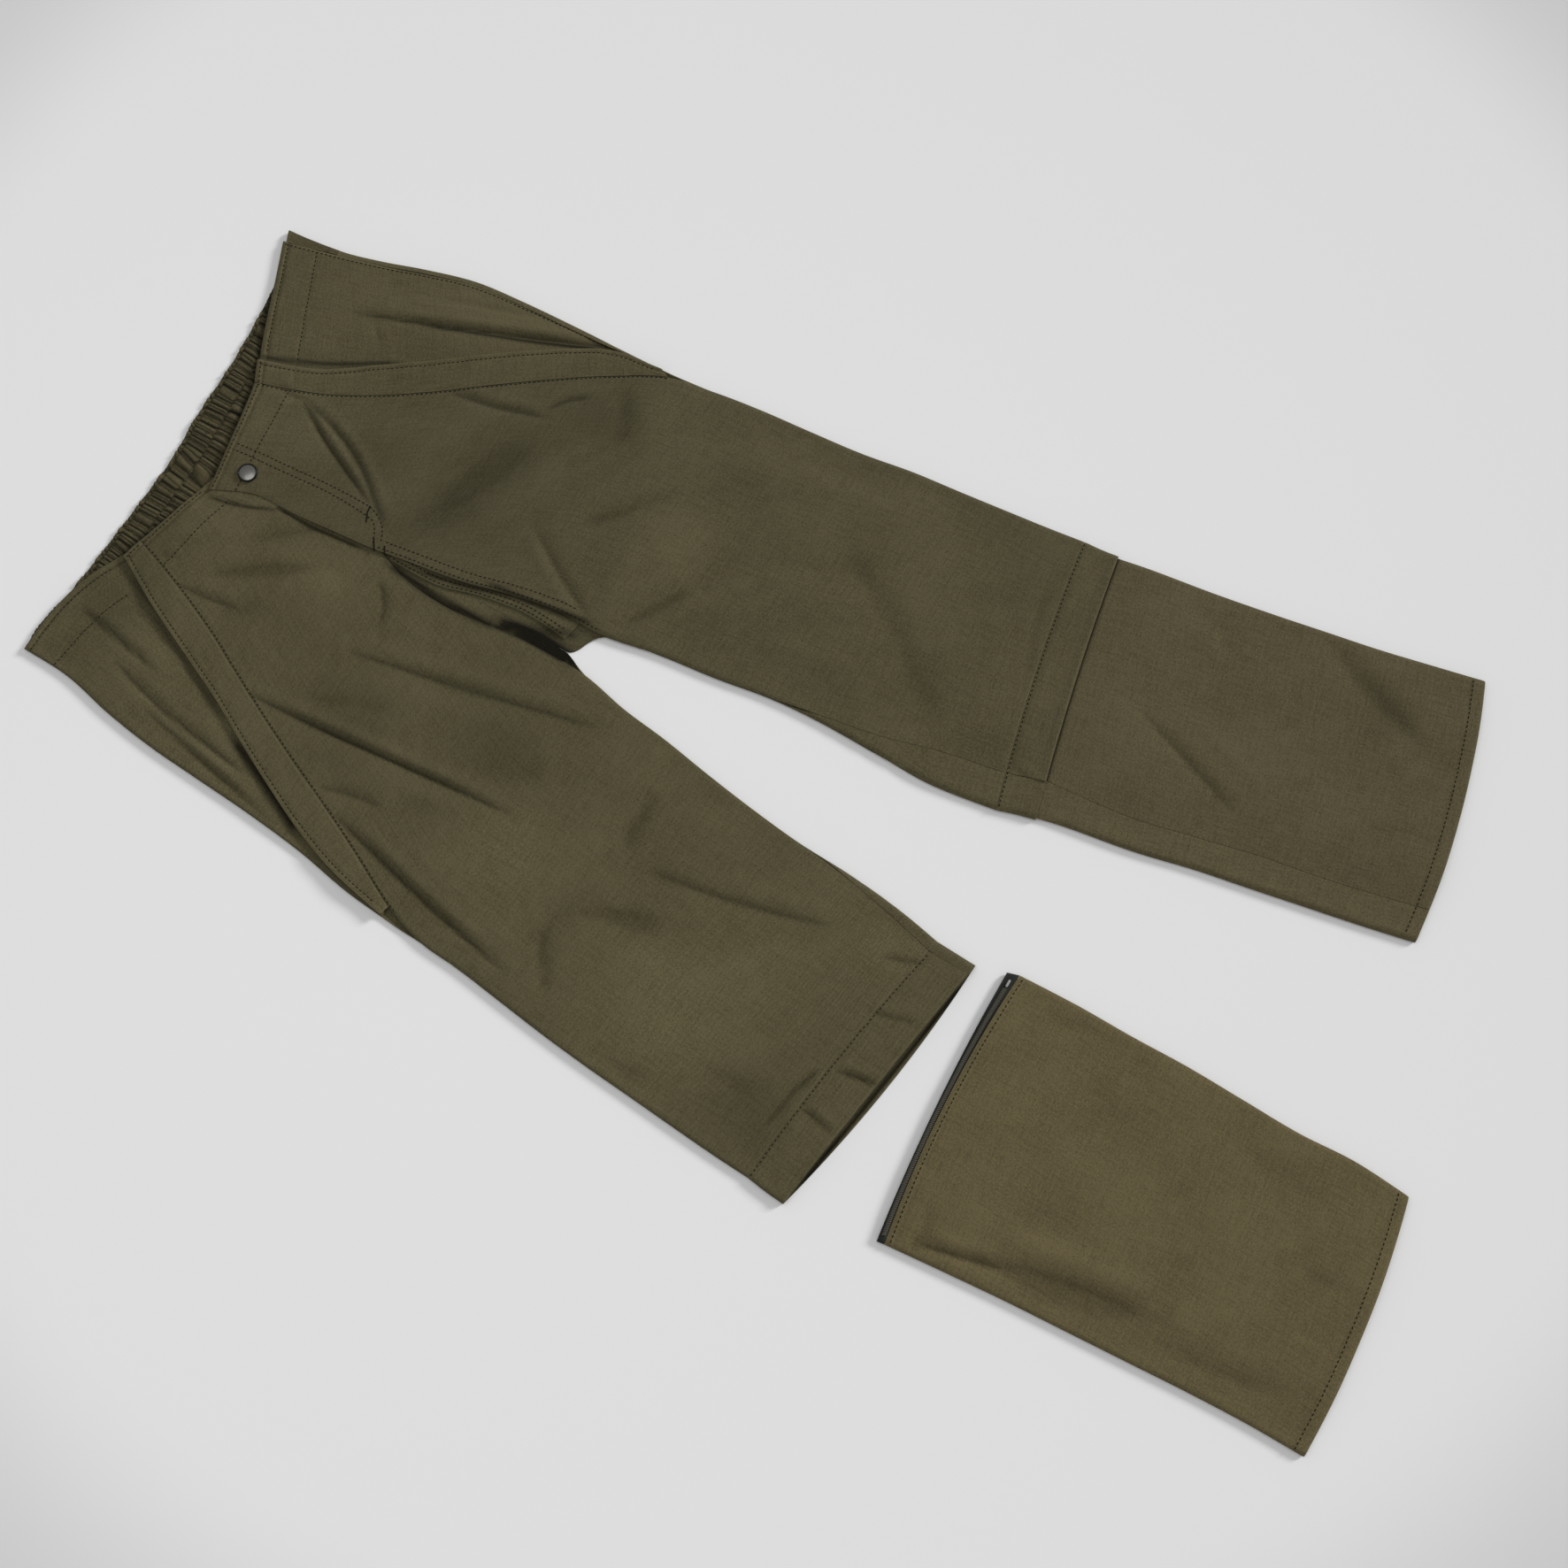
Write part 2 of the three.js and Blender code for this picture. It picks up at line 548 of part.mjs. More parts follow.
// Elastic waistband: plain underneath, gathered on top, wrapped round the complete leg's side to its seam.
function waistband() {
  const leftSide = (row) => sectionAt(leftHip, (1 - row) / (leftHip.length - 1));
  const rightSide = (row) => sectionAt(rightHip, (1 - row) / (rightHip.length - 1));
  const [leftFoot, rightFoot] = [leftSide(0), rightSide(0)];
  const rows = [0, 0.14, 0.5, 1]; // from its foot, as parts of its width
  const swell = [0.5, 0.5, 1, 0.7]; // gathers are flatter where the band is stitched
  const edgeCurve = new THREE.SplineCurve(bandEdge.map(({ x, y }) => new THREE.Vector2(x, y)));
  const edgePoints = edgeCurve.getPoints(60);
  const upperY = (x) => {
    const i = Math.max(1, edgePoints.findIndex((point) => point.x <= x));
    const [p, q] = [edgePoints[i - 1], edgePoints[i]];
    return mix(p.y, q.y, THREE.MathUtils.clamp((x - p.x) / (q.x - p.x), 0, 1));
  };
  const centre = leftFoot.inX;
  const footY = (x) => {
    const side = x > centre ? leftFoot : rightFoot;
    return mix(bandFoot, side.outY, (x - centre) / (side.outX - centre)) + seamGap;
  };
  const point = (across, row, face) => {
    const leftX = leftSide(rows[row]).outX;
    const rightX = rightSide(rows[row]).outX;
    const wrapped = across.side !== 0;
    const seam = across.side > 0 ? leftSide(rows[row]).outSeam - 2 * seamGap : 0;
    const way = wrapped ? foldWay(seam, across.part) : 0;
    const line = { ...plain, outX: leftX, outY: 0, inX: rightX, inY: 0, inDrop: 1 };
    const flatX = mix(leftX - foldRadius, rightX + foldRadius, across.part);
    const [x, , z] = wrapped
      ? backPoint(line, way, across.side < 0, face)
      : [flatX, 0, face * (layer + across.height * swell[row])];
    return [x, mix(footY(x), upperY(x), rows[row]), z];
  };
  const wrap = (side) => Array.from({ length: foldColumns + 1 }, (_, i) => ({ side, part: i / foldColumns }));
  const uneven = gatherUneven;
  const creases = Array.from({ length: 2 * gathers - 1 }, (_, i) => ({
    side: 0,
    part: (i + 1 + uneven.place * Math.sin(i * uneven.placeStep)) / (2 * gathers),
    height: i % 2 ? gatherFoot : gatherHeight * (1 - uneven.height * (1 - Math.sin(i * uneven.heightStep))),
  }));
  const columns = [...wrap(1), ...creases, ...wrap(-1).reverse()];
  const face = (side) => rows.map((_, row) => columns.map((across) => point(across, row, side)));
  add("back_waistband", wall(face(0), face(1)), darkOlive);
}
waistband();

// Small pieces at the fly and the fork.
const flat = { folds: 0, crown: 0, folded: false };
const cutEdges = { outDrop: 0, inDrop: 0 };
const cut = (rows) => (v) => ({ ...along(rows)(v), ...cutEdges });
add("fly_shield", frontWall(cut(flyShield), 8, 2, flat), olive);
add("fork_band", frontWall(cut(forkBand), 12, 1, flat), olive);
// Section of the stud: a flat foot, a rim and a low dome.
const studProfile = table(
  ["r", "z"],
  [0, 0],
  [stud.radius, 0],
  [stud.radius, 0.35 * stud.height],
  [0.92 * stud.radius, 0.6 * stud.height],
  [0.62 * stud.radius, 0.88 * stud.height],
  [0, stud.height],
);
const studGeometry = new THREE.LatheGeometry(
  studProfile.map(({ r, z }) => new THREE.Vector2(r, z)),
  stud.sides,
);
studGeometry.rotateX(Math.PI / 2);
studGeometry.translate(stud.x, stud.y, legTop + flyLift + stud.lift);
add("snap_cap", studGeometry, gunmetal, 0.35, 0.9);

// What lies inside a knee flap: the flap's own sections, drawn in by its wall.
function nested(rows, from, to) {
  return (v) => {
    const section = along(rows, from, to)(v);
    const inset = layer + seamGap;
    const { width } = place(section, 0);
    const a = place({ ...section, bow: 0 }, inset);
    const b = place({ ...section, bow: 0 }, width - inset);
    return { ...section, outX: a.x, outY: a.y, inX: b.x, inY: b.y, base: nestedFloor, top: nestedTop };
  };
}

// A front and a back that close one tube.
function tube(names, frontRows, backRows, steps, options = {}) {
  const settings = { color: olive, across: frontAcross, under: backAcross, ...options };
  add(names[0], frontWall(frontRows, steps, settings.across, options), settings.color);
  add(names[1], backWall(backRows, steps, settings.under), settings.color);
}
const zipSpan = [0.05, 0.44]; // the zip's width, as a part of the flap's
const looseStart = 0.001; // seam between the loose leg and its tape, as a part of the leg's length
const coilSpan = [0.3, 0.62]; // the coil's width, as a part of the tape's
const zip = { color: darkOlive, across: 6 };
function knee(side, rows, backRows) {
  const [flap, zipped] = ["knee_flap_" + side, "knee_zip_" + side];
  const inside = nested(rows, ...zipSpan);
  tube([flap, flap + "_back"], along(rows), along(backRows), 2);
  tube([zipped, zipped + "_back"], inside, inside, 1, zip);
}
knee("left", leftFlap, leftFlap);
knee("right", rightFlap, rightFlapBack);
tube(["lower_front", "lower_back"], along(lowerLeg), along(lowerLeg), 12);
const loose = along(looseLeg, looseStart);
tube(["loose_front", "loose_back"], loose, loose, 10, { color: looseOlive });
const tape = along(looseTape);
tube(["loose_zip_tape", "loose_zip_tape_back"], tape, tape, 2, { color: charcoal });

// Zip coil on the loose leg's tape, clear of the folded edges, and the pin at its end.
const coil = (v) => ({ ...along(looseTape, ...coilSpan)(v), outSeam: coilEnds.out, inSeam: coilEnds.in });
add("loose_zip_coil", frontWall(coil, 2, frontAcross, { lift: () => coilLift, folded: false }), coilGrey, 0.6);
const pinPlace = place(coil(0.5), pinInside);
const pinMesh = new THREE.BoxGeometry(pin.length, pin.width, pin.height);
pinMesh.translate(pinPlace.x, pinPlace.y, legTop + seamGap + pin.height / 2);
add("loose_zip_pin", pinMesh, pinGrey, 0.4, 0.2);

export default root;
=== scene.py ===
# Convertible zip-off trousers laid flat: cloth, sewing, zips, press stud, floor and light.
# Sizes are millimetres in the frame of the tables: waist at +y, complete leg at +x, z up from the floor.
import math

import bpy
import numpy as np
from mathutils import Matrix


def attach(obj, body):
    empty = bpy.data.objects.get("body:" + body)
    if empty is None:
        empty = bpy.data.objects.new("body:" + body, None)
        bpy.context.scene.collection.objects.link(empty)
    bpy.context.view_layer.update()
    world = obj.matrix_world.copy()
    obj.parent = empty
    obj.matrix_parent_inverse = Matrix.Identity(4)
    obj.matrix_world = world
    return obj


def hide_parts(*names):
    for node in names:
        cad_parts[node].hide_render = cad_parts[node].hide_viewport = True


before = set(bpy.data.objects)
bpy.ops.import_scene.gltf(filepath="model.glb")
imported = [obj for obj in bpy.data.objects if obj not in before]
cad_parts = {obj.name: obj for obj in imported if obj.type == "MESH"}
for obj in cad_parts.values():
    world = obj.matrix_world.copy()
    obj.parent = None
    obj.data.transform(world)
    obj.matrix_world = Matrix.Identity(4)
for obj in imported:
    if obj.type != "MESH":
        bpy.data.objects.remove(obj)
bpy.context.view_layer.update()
print("frame loaded:", len(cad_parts), "nodes")

cloth = {
    "layer": 1.0,  # one layer of cloth
    "gap": 0.3,  # between two sewn pieces
    "legTop": 5.2,  # top of a leg's folded edge
    "foldRadius": 4.0,  # width over which the folded edge turns
    "crown": 1.5,  # how much higher a leg's middle lies
    "crownWidth": 60.0,  # distance from the edge at which the crown is reached
    "edgeRoll": 0.45,  # how far a cut edge rounds down
    "edgeWidth": 1.1,
    "spacing": 2.0,  # between the rows and columns of a panel
    "flatMiddle": (40.0, 10.7),  # of the tables' sizes, moved to the origin
}
seededNoise = np.random.default_rng(7)


def table(columns, rows):
    # each named column as an array with a value for each row
    values = np.array(rows, dtype=float)
    return {name: values[:, i] for i, name in enumerate(columns)}


def join(*tables):
    # one table's rows after another's
    return {name: np.concatenate([rows[name] for rows in tables]) for name in tables[0]}


def rowsFrom(rows, start):
    # a table without its first rows
    return {name: column[start:] for name, column in rows.items()}


# Sections from the waist to the knee: out is the side away from the fork, and in the other one.
# Each side has a point, how far its seam lies inside the edge, and its fold: 0 cut, 1 folded.
sharedRows = 9  # from this row on, a leg's back has its front's sections
legColumns = ["outX", "outY", "outSeam", "outDrop", "inX", "inY", "inSeam", "inDrop", "bow"]
leftFront = table(legColumns, [
    [68, 553, 0, 0, -30, 531, 0, 0, -1],
    [86, 504, 0, 0, -14, 496, 0, 0, 0],
    [110, 462, 0, 0, -12, 461, 0, 0, 0],
    [137, 423, 0, 0, -8, 425, 0, 0, 0],
    [165, 386, 0, 0, -4, 388, 0, 0, 0],
    [199, 341, 0, 0, 3, 348, 0, 0, 0],
    [226, 302, 0, 0, 10, 308, 0, 0, 0],
    [249, 262, 0, 0.4, 21, 268, 0, 0, 0],
    [258, 222, 0, 1, 28, 230, 0, 0.3, 0],
    [264, 181, 0, 1, 30, 186, 0, 1, 0],
    [268.5, 136, 0, 1, 39.5, 140, 0, 1, 0],
    [273.5, 90, 0, 1, 46, 92, 0, 1, 0],
    [281, 46, 0, 1, 54, 46, 0, 1, 0],
    [286, 3, 0, 1, 57.5, 2, 5, 1, 0],
    [291, -38, 0, 1, 58, -48, 14, 1, 1],
    [295.5, -74, 0, 1, 58.5, -100, 28, 1, 3],
    [300, -105, 0, 1, 67, -155, 31, 1, 4],
])
rightFront = table(legColumns, [
    [-95, 554, 0, 0, -6, 532, 0, 0, -1],
    [-109, 512, 0, 0, 8, 496, 0, 0, 0],
    [-129, 462, 0, 0, 10, 461, 0, 0, 0],
    [-147, 425, 0, 0, 12, 428, 0, 0, 0],
    [-166, 385, 0, 0, 4, 396, 0, 0, 0],
    [-184, 345, 0, 0, -11, 352, 0, 1, 0],
    [-203, 300, 0, 0, -14, 305, 0, 1, 0],
    [-222, 258, 0, 0, -8, 262, 0, 1, 0],
    [-244, 212, 0, 0.4, -5, 222, 0, 1, 0],
    [-255, 175, 0, 1, -5.5, 182, 0, 1, 0],
    [-257.5, 138, 0, 1, -13.5, 140, 0, 1, 0],
    [-262, 97, 0, 1, -18, 100, 0, 1, 0],
    [-266.5, 56, 0, 1, -25, 55, 0, 1, 0],
    [-270, 14, 0, 1, -31, 10, 0, 1, 0],
    [-272.5, -28, 0, 1, -35.5, -36, 0, 1, 0],
    [-275, -68, 0, 1, -37, -82, 4, 1, 2],
    [-277, -104, 0, 1, -41, -127, 8, 1, 3],
    [-278, -135, 0, 1, -48, -168, 10, 1, 4],
])
leftHip = table(legColumns, [
    [200, 609, 12, 1, 4, 575, 0, 0, 0],
    [206, 561, 6, 1, 4, 533.5, 0, 0, 0],
    [216, 525, 5, 1, 4, 495, 0, 0, 0],
    [229, 488, 5, 1, 4, 457, 0, 0, 0],
    [241, 446, 5, 1, 4, 418, 0, 0, 0],
    [246, 400, 5, 1, 4, 379, 0, 0, 0],
    [249, 352, 5, 1, 4, 340, 0, 0, 0],
    [251, 306, 3, 1, 4, 300, 0, 0, 0],
    [253.5, 262, 0, 1, 4, 256, 0, 0, 0],
    [258, 222, 0, 1, 4, 214, 0, 0, 0],
    [261.2, 201.6, 0, 1, 7, 201, 0, 0.2, 0],
])
rightHip = table(legColumns, [
    [-218.5, 580, 0, 1, 4, 575, 0, 0, 0],
    [-219.5, 537, 0, 1, 4, 533.5, 0, 0, 0],
    [-228, 492, 0, 1, 4, 495, 0, 0, 0],
    [-233.5, 447, 0, 1, 4, 457, 0, 0, 0],
    [-236, 400, 0, 1, 4, 418, 0, 0, 0],
    [-238.5, 350, 0, 1, 4, 379, 0, 0, 0],
    [-243, 298, 0, 1, 4, 330, 0, 0, 0],
    [-250.5, 250, 0, 1, 4, 270, 0, 0, 0],
    [-253.5, 212, 0, 1, 4, 214, 0, 0, 0],
    [-254.6, 194, 0, 1, 3, 203, 0, 0.2, 0],
])
# Pocket mouths, a row for each of the front's first sections.
leftMouth = table(["x", "y"], [
    [86, 562], [104, 515], [132, 476], [160, 438], [189, 399], [222, 354], [245, 314], [252, 270],
])
rightMouth = table(["x", "y"], [
    [-113, 557], [-136, 512], [-158, 462], [-174, 425], [-194, 385], [-213, 345], [-231, 303], [-244, 262],
    [-252.7, 214],
])
# Upper edge of the waistband.
bandEdge = table(["x", "y"], [
    [200, 609], [155, 592], [82, 581.5], [18, 578.5], [-26, 574], [-100, 575], [-159, 577.5], [-190, 582],
    [-218.5, 581],
])
# Tubes below the knee, with the heights of their underside and of their folded edges' top.
tubeColumns = ["outX", "outY", "inX", "inY", "inSeam", "bow", "base", "top"]
lowerLeg = table(tubeColumns, [
    [299.6, -120.8, 73.6, -170.2, 31, 4, 1.5, 4.2],
    [301.6, -135.6, 77.6, -185, 31, 3, 1.5, 4.2],
    [307, -164, 84, -212, 27, 0, 0.2, 5],
    [315, -216, 93, -262, 25, -1, 0, 5.2],
    [324, -266, 105, -311, 25, -2, 0, 5.2],
    [332.5, -309, 114, -355, 27, -3, 0, 5.2],
    [341, -352, 123, -398, 26, -4, 0, 5.2],
    [351, -395, 132, -441, 27, -6, 0, 5.2],
    [361, -437, 142, -485, 28, -8, 0, 5.2],
])
looseLeg = table(tubeColumns, [
    [-38, -235, -267.5, -248, 0, 7, 0, 5.2],
    [-35.5, -284, -262, -297, 0, 4, 0, 5.2],
    [-35, -332, -257, -345, 0, 2, 0, 5.2],
    [-33.5, -379, -253, -393, 0, 1, 0, 5.2],
    [-34, -427, -249, -442, 0, 0, 0, 5.2],
    [-34.5, -475, -245, -490, 0, -2, 0, 5.2],
    [-31.5, -522, -242, -539, 0, -4, 0, 5.2],
    [-34, -568, -241, -587, 0, -6, 0, 5.2],
])
leftFlap = table(tubeColumns, [
    [300, -105, 67, -155, 31, 4, 0, 5.7],
    [301, -120, 72, -170, 31, 4, 0, 5.9],
    [303, -135, 76, -185, 31, 3, 0, 6],
])
rightFlap = table(tubeColumns, [
    [-278, -135, -48, -168, 10, 4, 0, 5.7],
    [-280, -152, -48.5, -185, 10, 3, 0, 5.8],
    [-281, -168, -49, -202, 10, 1, 0, 5.8],
])
rightFlapBack = {**rightFlap, "bow": np.array([4.0, 0.0, -6.0])}
looseTape = table(tubeColumns, [
    [-38, -235, -267.5, -248, 0, 7, 0, 5.2],
    [-41, -225.5, -268.5, -242, 0, 4, 0, 4.8],
])
# Small flat pieces: the band in the fork and the shield under the fly edge.
flatColumns = ["outX", "outY", "inX", "inY", "top"]
forkBand = table(flatColumns, [
    [6, 372, -4, 372, 2.6],
    [7, 352, -4, 354, 2.9],
    [12, 321, -2, 324, 2.9],
    [20, 289, 7, 294, 2.9],
    [28, 258, 13, 262, 2.9],
    [32, 233, 14, 240, 2.9],
    [34, 209, 12, 213, 2.9],
])
flyShield = table(flatColumns, [
    [20, 536, -33, 529, 5.5],
    [20, 515, -29, 514, 5.5],
    [20, 498, -26, 498, 5.5],
    [19, 484, -24, 483, 5.5],
    [12, 474, -14, 474, 5.5],
])

# Creases on the upper side: three points of the path, width, height (a trough is below zero) and lean:
# a trough's ridge stands on its left seen along the path, or on its right below zero, lean times as high.
creaseShape = {
    "wide": (0.4, 1.3), "narrow": (0.6, 0.6),  # part of the height and of the width of both bells
    "ridgeAt": 1.7, "ridgeWidth": 1.1,  # widths from the path, and of the ridge
    "endHeight": 0.25, "fadeOver": 0.3,  # part of the height left at both ends, and part of the path it takes
    "pathSteps": 11,
}
creaseLook = {
    "sharpUnder": 7, "sharpDeeper": 1.4,  # width and depth of the troughs that get a line of painted shade
    "lineWidth": 1.7, "linePart": 0.35, "darkDepth": 5,  # the line's width, or part of the trough's
    "shade": 0.2, "shadeFrom": 0.9, "shadeOver": 1.6,  # of each trough's bottom, by its depth
    "wornHeight": 2.4,  # at which a ridge's wear, and a trough's painted shade, is full
}
creaseColumns = ["x1", "y1", "x2", "y2", "x3", "y3", "width", "height", "lean"]
upperCreases = table(creaseColumns, [
    # fly and complete thigh
    [75, 509, 54, 472, 27, 411, 3.4, -2.6, 0.5],
    [77, 504, 57, 447, 18, 391, 3.6, -2.2, 0.4],
    [75, 536, 74, 524, 73, 512, 4, -1.2, 0.3],
    [-98, 534, -96, 527, -91, 516, 4, -1.2, 0.4],
    [151, 320, 86, 349, 12, 377, 20, -2.8, 0.2],
    [40, 420, 110, 392, 170, 372, 16, 1.4, 0],
    [150, 292, 96, 312, 40, 336, 14, 1.6, 0],
    [145, 408, 152, 372, 166, 330, 4.5, -2.2, 0.4],
    [172, 332, 186, 324, 200, 308, 4.5, -1.9, 0.4],
    [222, 292, 200, 274, 170, 262, 13, -2.2, 0.3],
    [95, 258, 121, 236, 162, 202, 8, -2.0, 0.5],
    [36, 203, 55, 243, 80, 284, 5, -1.8, 0.4],
    [33, 186, 60, 170, 104, 144, 7, -2.0, -0.4],
    [96, 150, 120, 138, 150, 132, 16, -1.2, 0],
    [50, 200, 80, 204, 110, 206, 12, 1.2, 0],
    [205, 68, 155, -8, 112, -74, 15, -1.6, 0.2],
    [258, -97, 217, -105, 172, -121, 6, -1.1, 0],
    [60, 530, 70, 512, 78, 500, 6, 0.8, 0],
    [28, 413, 24, 400, 6, 386, 4, -0.7, 0],
    [150, 120, 170, 60, 210, 10, 18, -1.0, 0.2],
    [230, 140, 236, 80, 246, 20, 14, 0.9, 0],
    [90, 90, 100, 40, 108, -20, 15, 1.0, 0],
    [200, -30, 212, -60, 232, -90, 12, -0.9, 0.2],
    [186, 240, 210, 180, 226, 110, 22, 1.2, 0],
    # side panels
    [163, 518, 205, 415, 250, 312, 4, -3.0, 0.5],
    [180, 520, 216, 430, 248, 350, 9, 1.4, 0],
    [112, 540, 150, 500, 178, 470, 14, 1.0, 0],
    [165, 498, 158, 492, 150, 484, 4, -1.0, 0],
    [206, 470, 222, 430, 236, 390, 4, -1.0, 0.3],
    [128, 520, 140, 508, 150, 496, 6, -0.7, 0.2],
    [-166, 559, -173, 520, -179, 480, 4.5, -2.5, 0.4],
    [-190, 508, -204, 450, -213, 372, 5, -2.9, -0.4],
    [-204, 470, -209, 435, -226, 350, 5, 1.6, 0],
    [-208, 470, -218, 428, -236, 325, 5, -2.0, 0],
    [-140, 530, -152, 500, -160, 474, 6, -1.2, 0],
    [-128, 535, -142, 500, -156, 470, 6, 0.7, 0],
    # short thigh
    [-157, 402, -150, 320, -133, 172, 4.2, -3.2, 0.5],
    [-172, 372, -160, 280, -150, 180, 12, 1.4, 0],
    [-135, 362, -122, 325, -112, 290, 9, -1.5, 0.2],
    [-120, 225, -104, 190, -88, 158, 18, -2.0, 0],
    [-86, 352, -64, 254, -38, 152, 6, -2.3, 0.4],
    [-104, 350, -86, 270, -66, 180, 13, 1.3, 0],
    [-58, 484, -30, 458, -5, 428, 8, -2.0, 0.3],
    [-104, 504, -72, 464, -32, 404, 9, -2.1, 0.3],
    [-110, 506, -108, 480, -102, 450, 5, -1.8, 0.3],
    [-46, 524, -30, 508, -14, 496, 6, -1.0, 0.3],
    [-78, 530, -60, 512, -44, 500, 8, 0.8, 0],
    [-120, 470, -104, 450, -84, 436, 9, -0.9, 0.2],
    [-24, 366, -38, 354, -52, 346, 5, -2.0, 0.3],
    [-40, 372, -46, 330, -44, 290, 10, 0.9, 0],
    [-205, 287, -225, 198, -240, 112, 5, -3.0, 0.5],
    [-192, 312, -185, 290, -180, 262, 6, -1.7, 0.3],
    [-178, 262, -170, 240, -158, 215, 13, -1.3, 0],
    [-190, 250, -208, 170, -226, 80, 13, 1.4, 0],
    [-187, 372, -176, 362, -162, 356, 4, -0.9, 0.2],
    [-56, 84, -86, 82, -119, 80, 11, -2.6, 0.2],
    [-115, 52, -103, -12, -82, -86, 6.5, -2.0, 0.3],
    [-214, 104, -172, 84, -146, 10, 15, -2.8, 0.2],
    [-188, 99, -212, 92, -246, 66, 8, -2.0, 0.2],
    [-190, 60, -180, 30, -172, 0, 18, 1.3, 0],
    [-257, 32, -257, -6, -258, -37, 10, -1.2, 0],
    [-60, 120, -56, 60, -62, 0, 16, 1.0, 0],
    # short leg's end
    [-180, -140, -208, -131, -238, -127, 5, -2.0, 0.3],
    [-226, -56, -225, -85, -222, -116, 10, -1.6, 0.2],
    [-150, -62, -136, -84, -118, -104, 12, -0.8, 0.2],
    [-174, -152, -171, -168, -169, -183, 3.4, -2.4, 0.4],
    [-212, -144, -215, -158, -216, -172, 3.4, -2.0, 0.4],
    [-80, -137, -75, -150, -69, -166, 5, -1.6, 0.3],
    [-122, -150, -118, -166, -112, -184, 4, -1.5, 0.3],
    [104, -146, 100, -160, 97, -176, 4, -1.0, 0.3],
    # complete leg below the knee
    [196, -216, 178, -267, 162, -314, 6.5, -1.5, 0.3],
    [214, -230, 200, -290, 184, -330, 14, 1.0, 0],
    [296, -196, 290, -230, 270, -262, 12, -1.0, 0.2],
    [330, -306, 306, -365, 282, -430, 13, -2.2, 0.2],
    [240, -180, 236, -220, 246, -262, 16, 0.8, 0],
    [200, -410, 212, -436, 220, -462, 8, -0.8, 0.2],
    [260, -400, 262, -430, 272, -460, 9, 0.7, 0],
    # loose leg
    [-254, -270, -247, -298, -237, -334, 5, -2.6, 0.4],
    [-243, -312, -230, -362, -213, -448, 11, -3.8, 0.4],
    [-270, -262, -262, -268, -252, -266, 5, -1.6, 0.3],
    [-229, -440, -222, -500, -206, -565, 10, -1.4, 0.3],
    [-214, -300, -205, -380, -196, -450, 16, 1.0, 0],
    [-60, -260, -52, -290, -48, -320, 9, -0.9, 0.2],
    [-150, -250, -140, -300, -146, -350, 18, 0.9, 0],
    [-60, -420, -72, -470, -66, -530, 14, -0.8, 0.2],
    [-120, -520, -124, -548, -118, -574, 7, -0.7, 0.3],
    [-170, -530, -172, -556, -168, -580, 7, 0.6, 0],
    [-262, -262, -248, -268, -226, -262, 6, -1.2, 0.3],
    [-200, -300, -196, -370, -200, -440, 20, -0.6, 0],
])
# Painted shade where hardly any light falls: in the fork, and under the pockets' open mouths; depth is how
# dark it is.
hollowColumns = ["x1", "y1", "x2", "y2", "x3", "y3", "width", "depth"]
forkHollows = table(hollowColumns, [
    [-7, 371, -12, 318, -8, 262, 4, 1.0],
    [-9, 362, -13.2, 310, -8.4, 262, 1.7, 0.95],
    [-9, 272, -5, 238, -5, 200, 2.4, 1.0],
    [-4, 268, 3, 232, -1, 190, 6, 1.1],
    [140, 326, 86, 349, 24, 372, 12, 0.16],
    [0, 345, 10, 304, 24, 262, 1.9, 0.7],
    [19, 292, 26, 246, 34, 199, 2.5, 0.8],
    [8, 240, 14, 222, 20, 206, 4, 0.6],
    # under the fly's edge and shield, and under the short leg's flap
    [-35, 528, -28, 500, -16, 474, 1.6, 0.7],
    [-14, 474, -13, 440, -8, 396, 1.6, 0.8],
    [-272, -170.5, -165, -187, -58, -202, 1.9, 0.95],
])
mouthHollows = table(hollowColumns, [
    [88, 567, 112, 514, 146, 460, 2.5, 0.8],
    [184, 462, 213, 388, 250, 306, 1.9, 0.95],
    [-120, 548, -152, 484, -184, 410, 2.5, 0.5],
    [-194, 394, -212, 350, -232, 306, 4, 0.9],
])
# Painted shade: a dark line along each sharp trough of the upper side.
narrow = upperCreases["width"] < creaseLook["sharpUnder"]
sharp = narrow & (upperCreases["height"] < -creaseLook["sharpDeeper"])
creaseLines = {name: upperCreases[name][sharp] for name in hollowColumns[:6]}
lineWidth = creaseLook["linePart"] * upperCreases["width"][sharp]
creaseLines["width"] = np.maximum(creaseLook["lineWidth"], lineWidth)
creaseLines["depth"] = -upperCreases["height"][sharp] / creaseLook["darkDepth"]
# Wide areas where the upper side is lighter or darker than the rest: wear, and painted light and shade for
# the way it lies to the light.
toneAreas = table(["x", "y", "reach", "gain"], [
    [-205, -15, 62, 0.27], [-164, 155, 40, 0.24], [-70, -140, 26, 0.18], [115, 175, 34, 0.16],
    [198, 20, 60, 0.08], [-46, 412, 30, 0.20], [-118, -60, 40, 0.10], [-146, 538, 34, -0.26],
    [-85, 540, 24, -0.15], [62, 344, 32, -0.14], [-92, 200, 36, -0.18], [-130, 315, 32, -0.17],
    [190, 288, 22, -0.14], [-232, -105, 34, -0.20], [290, -384, 20, -0.15],
])
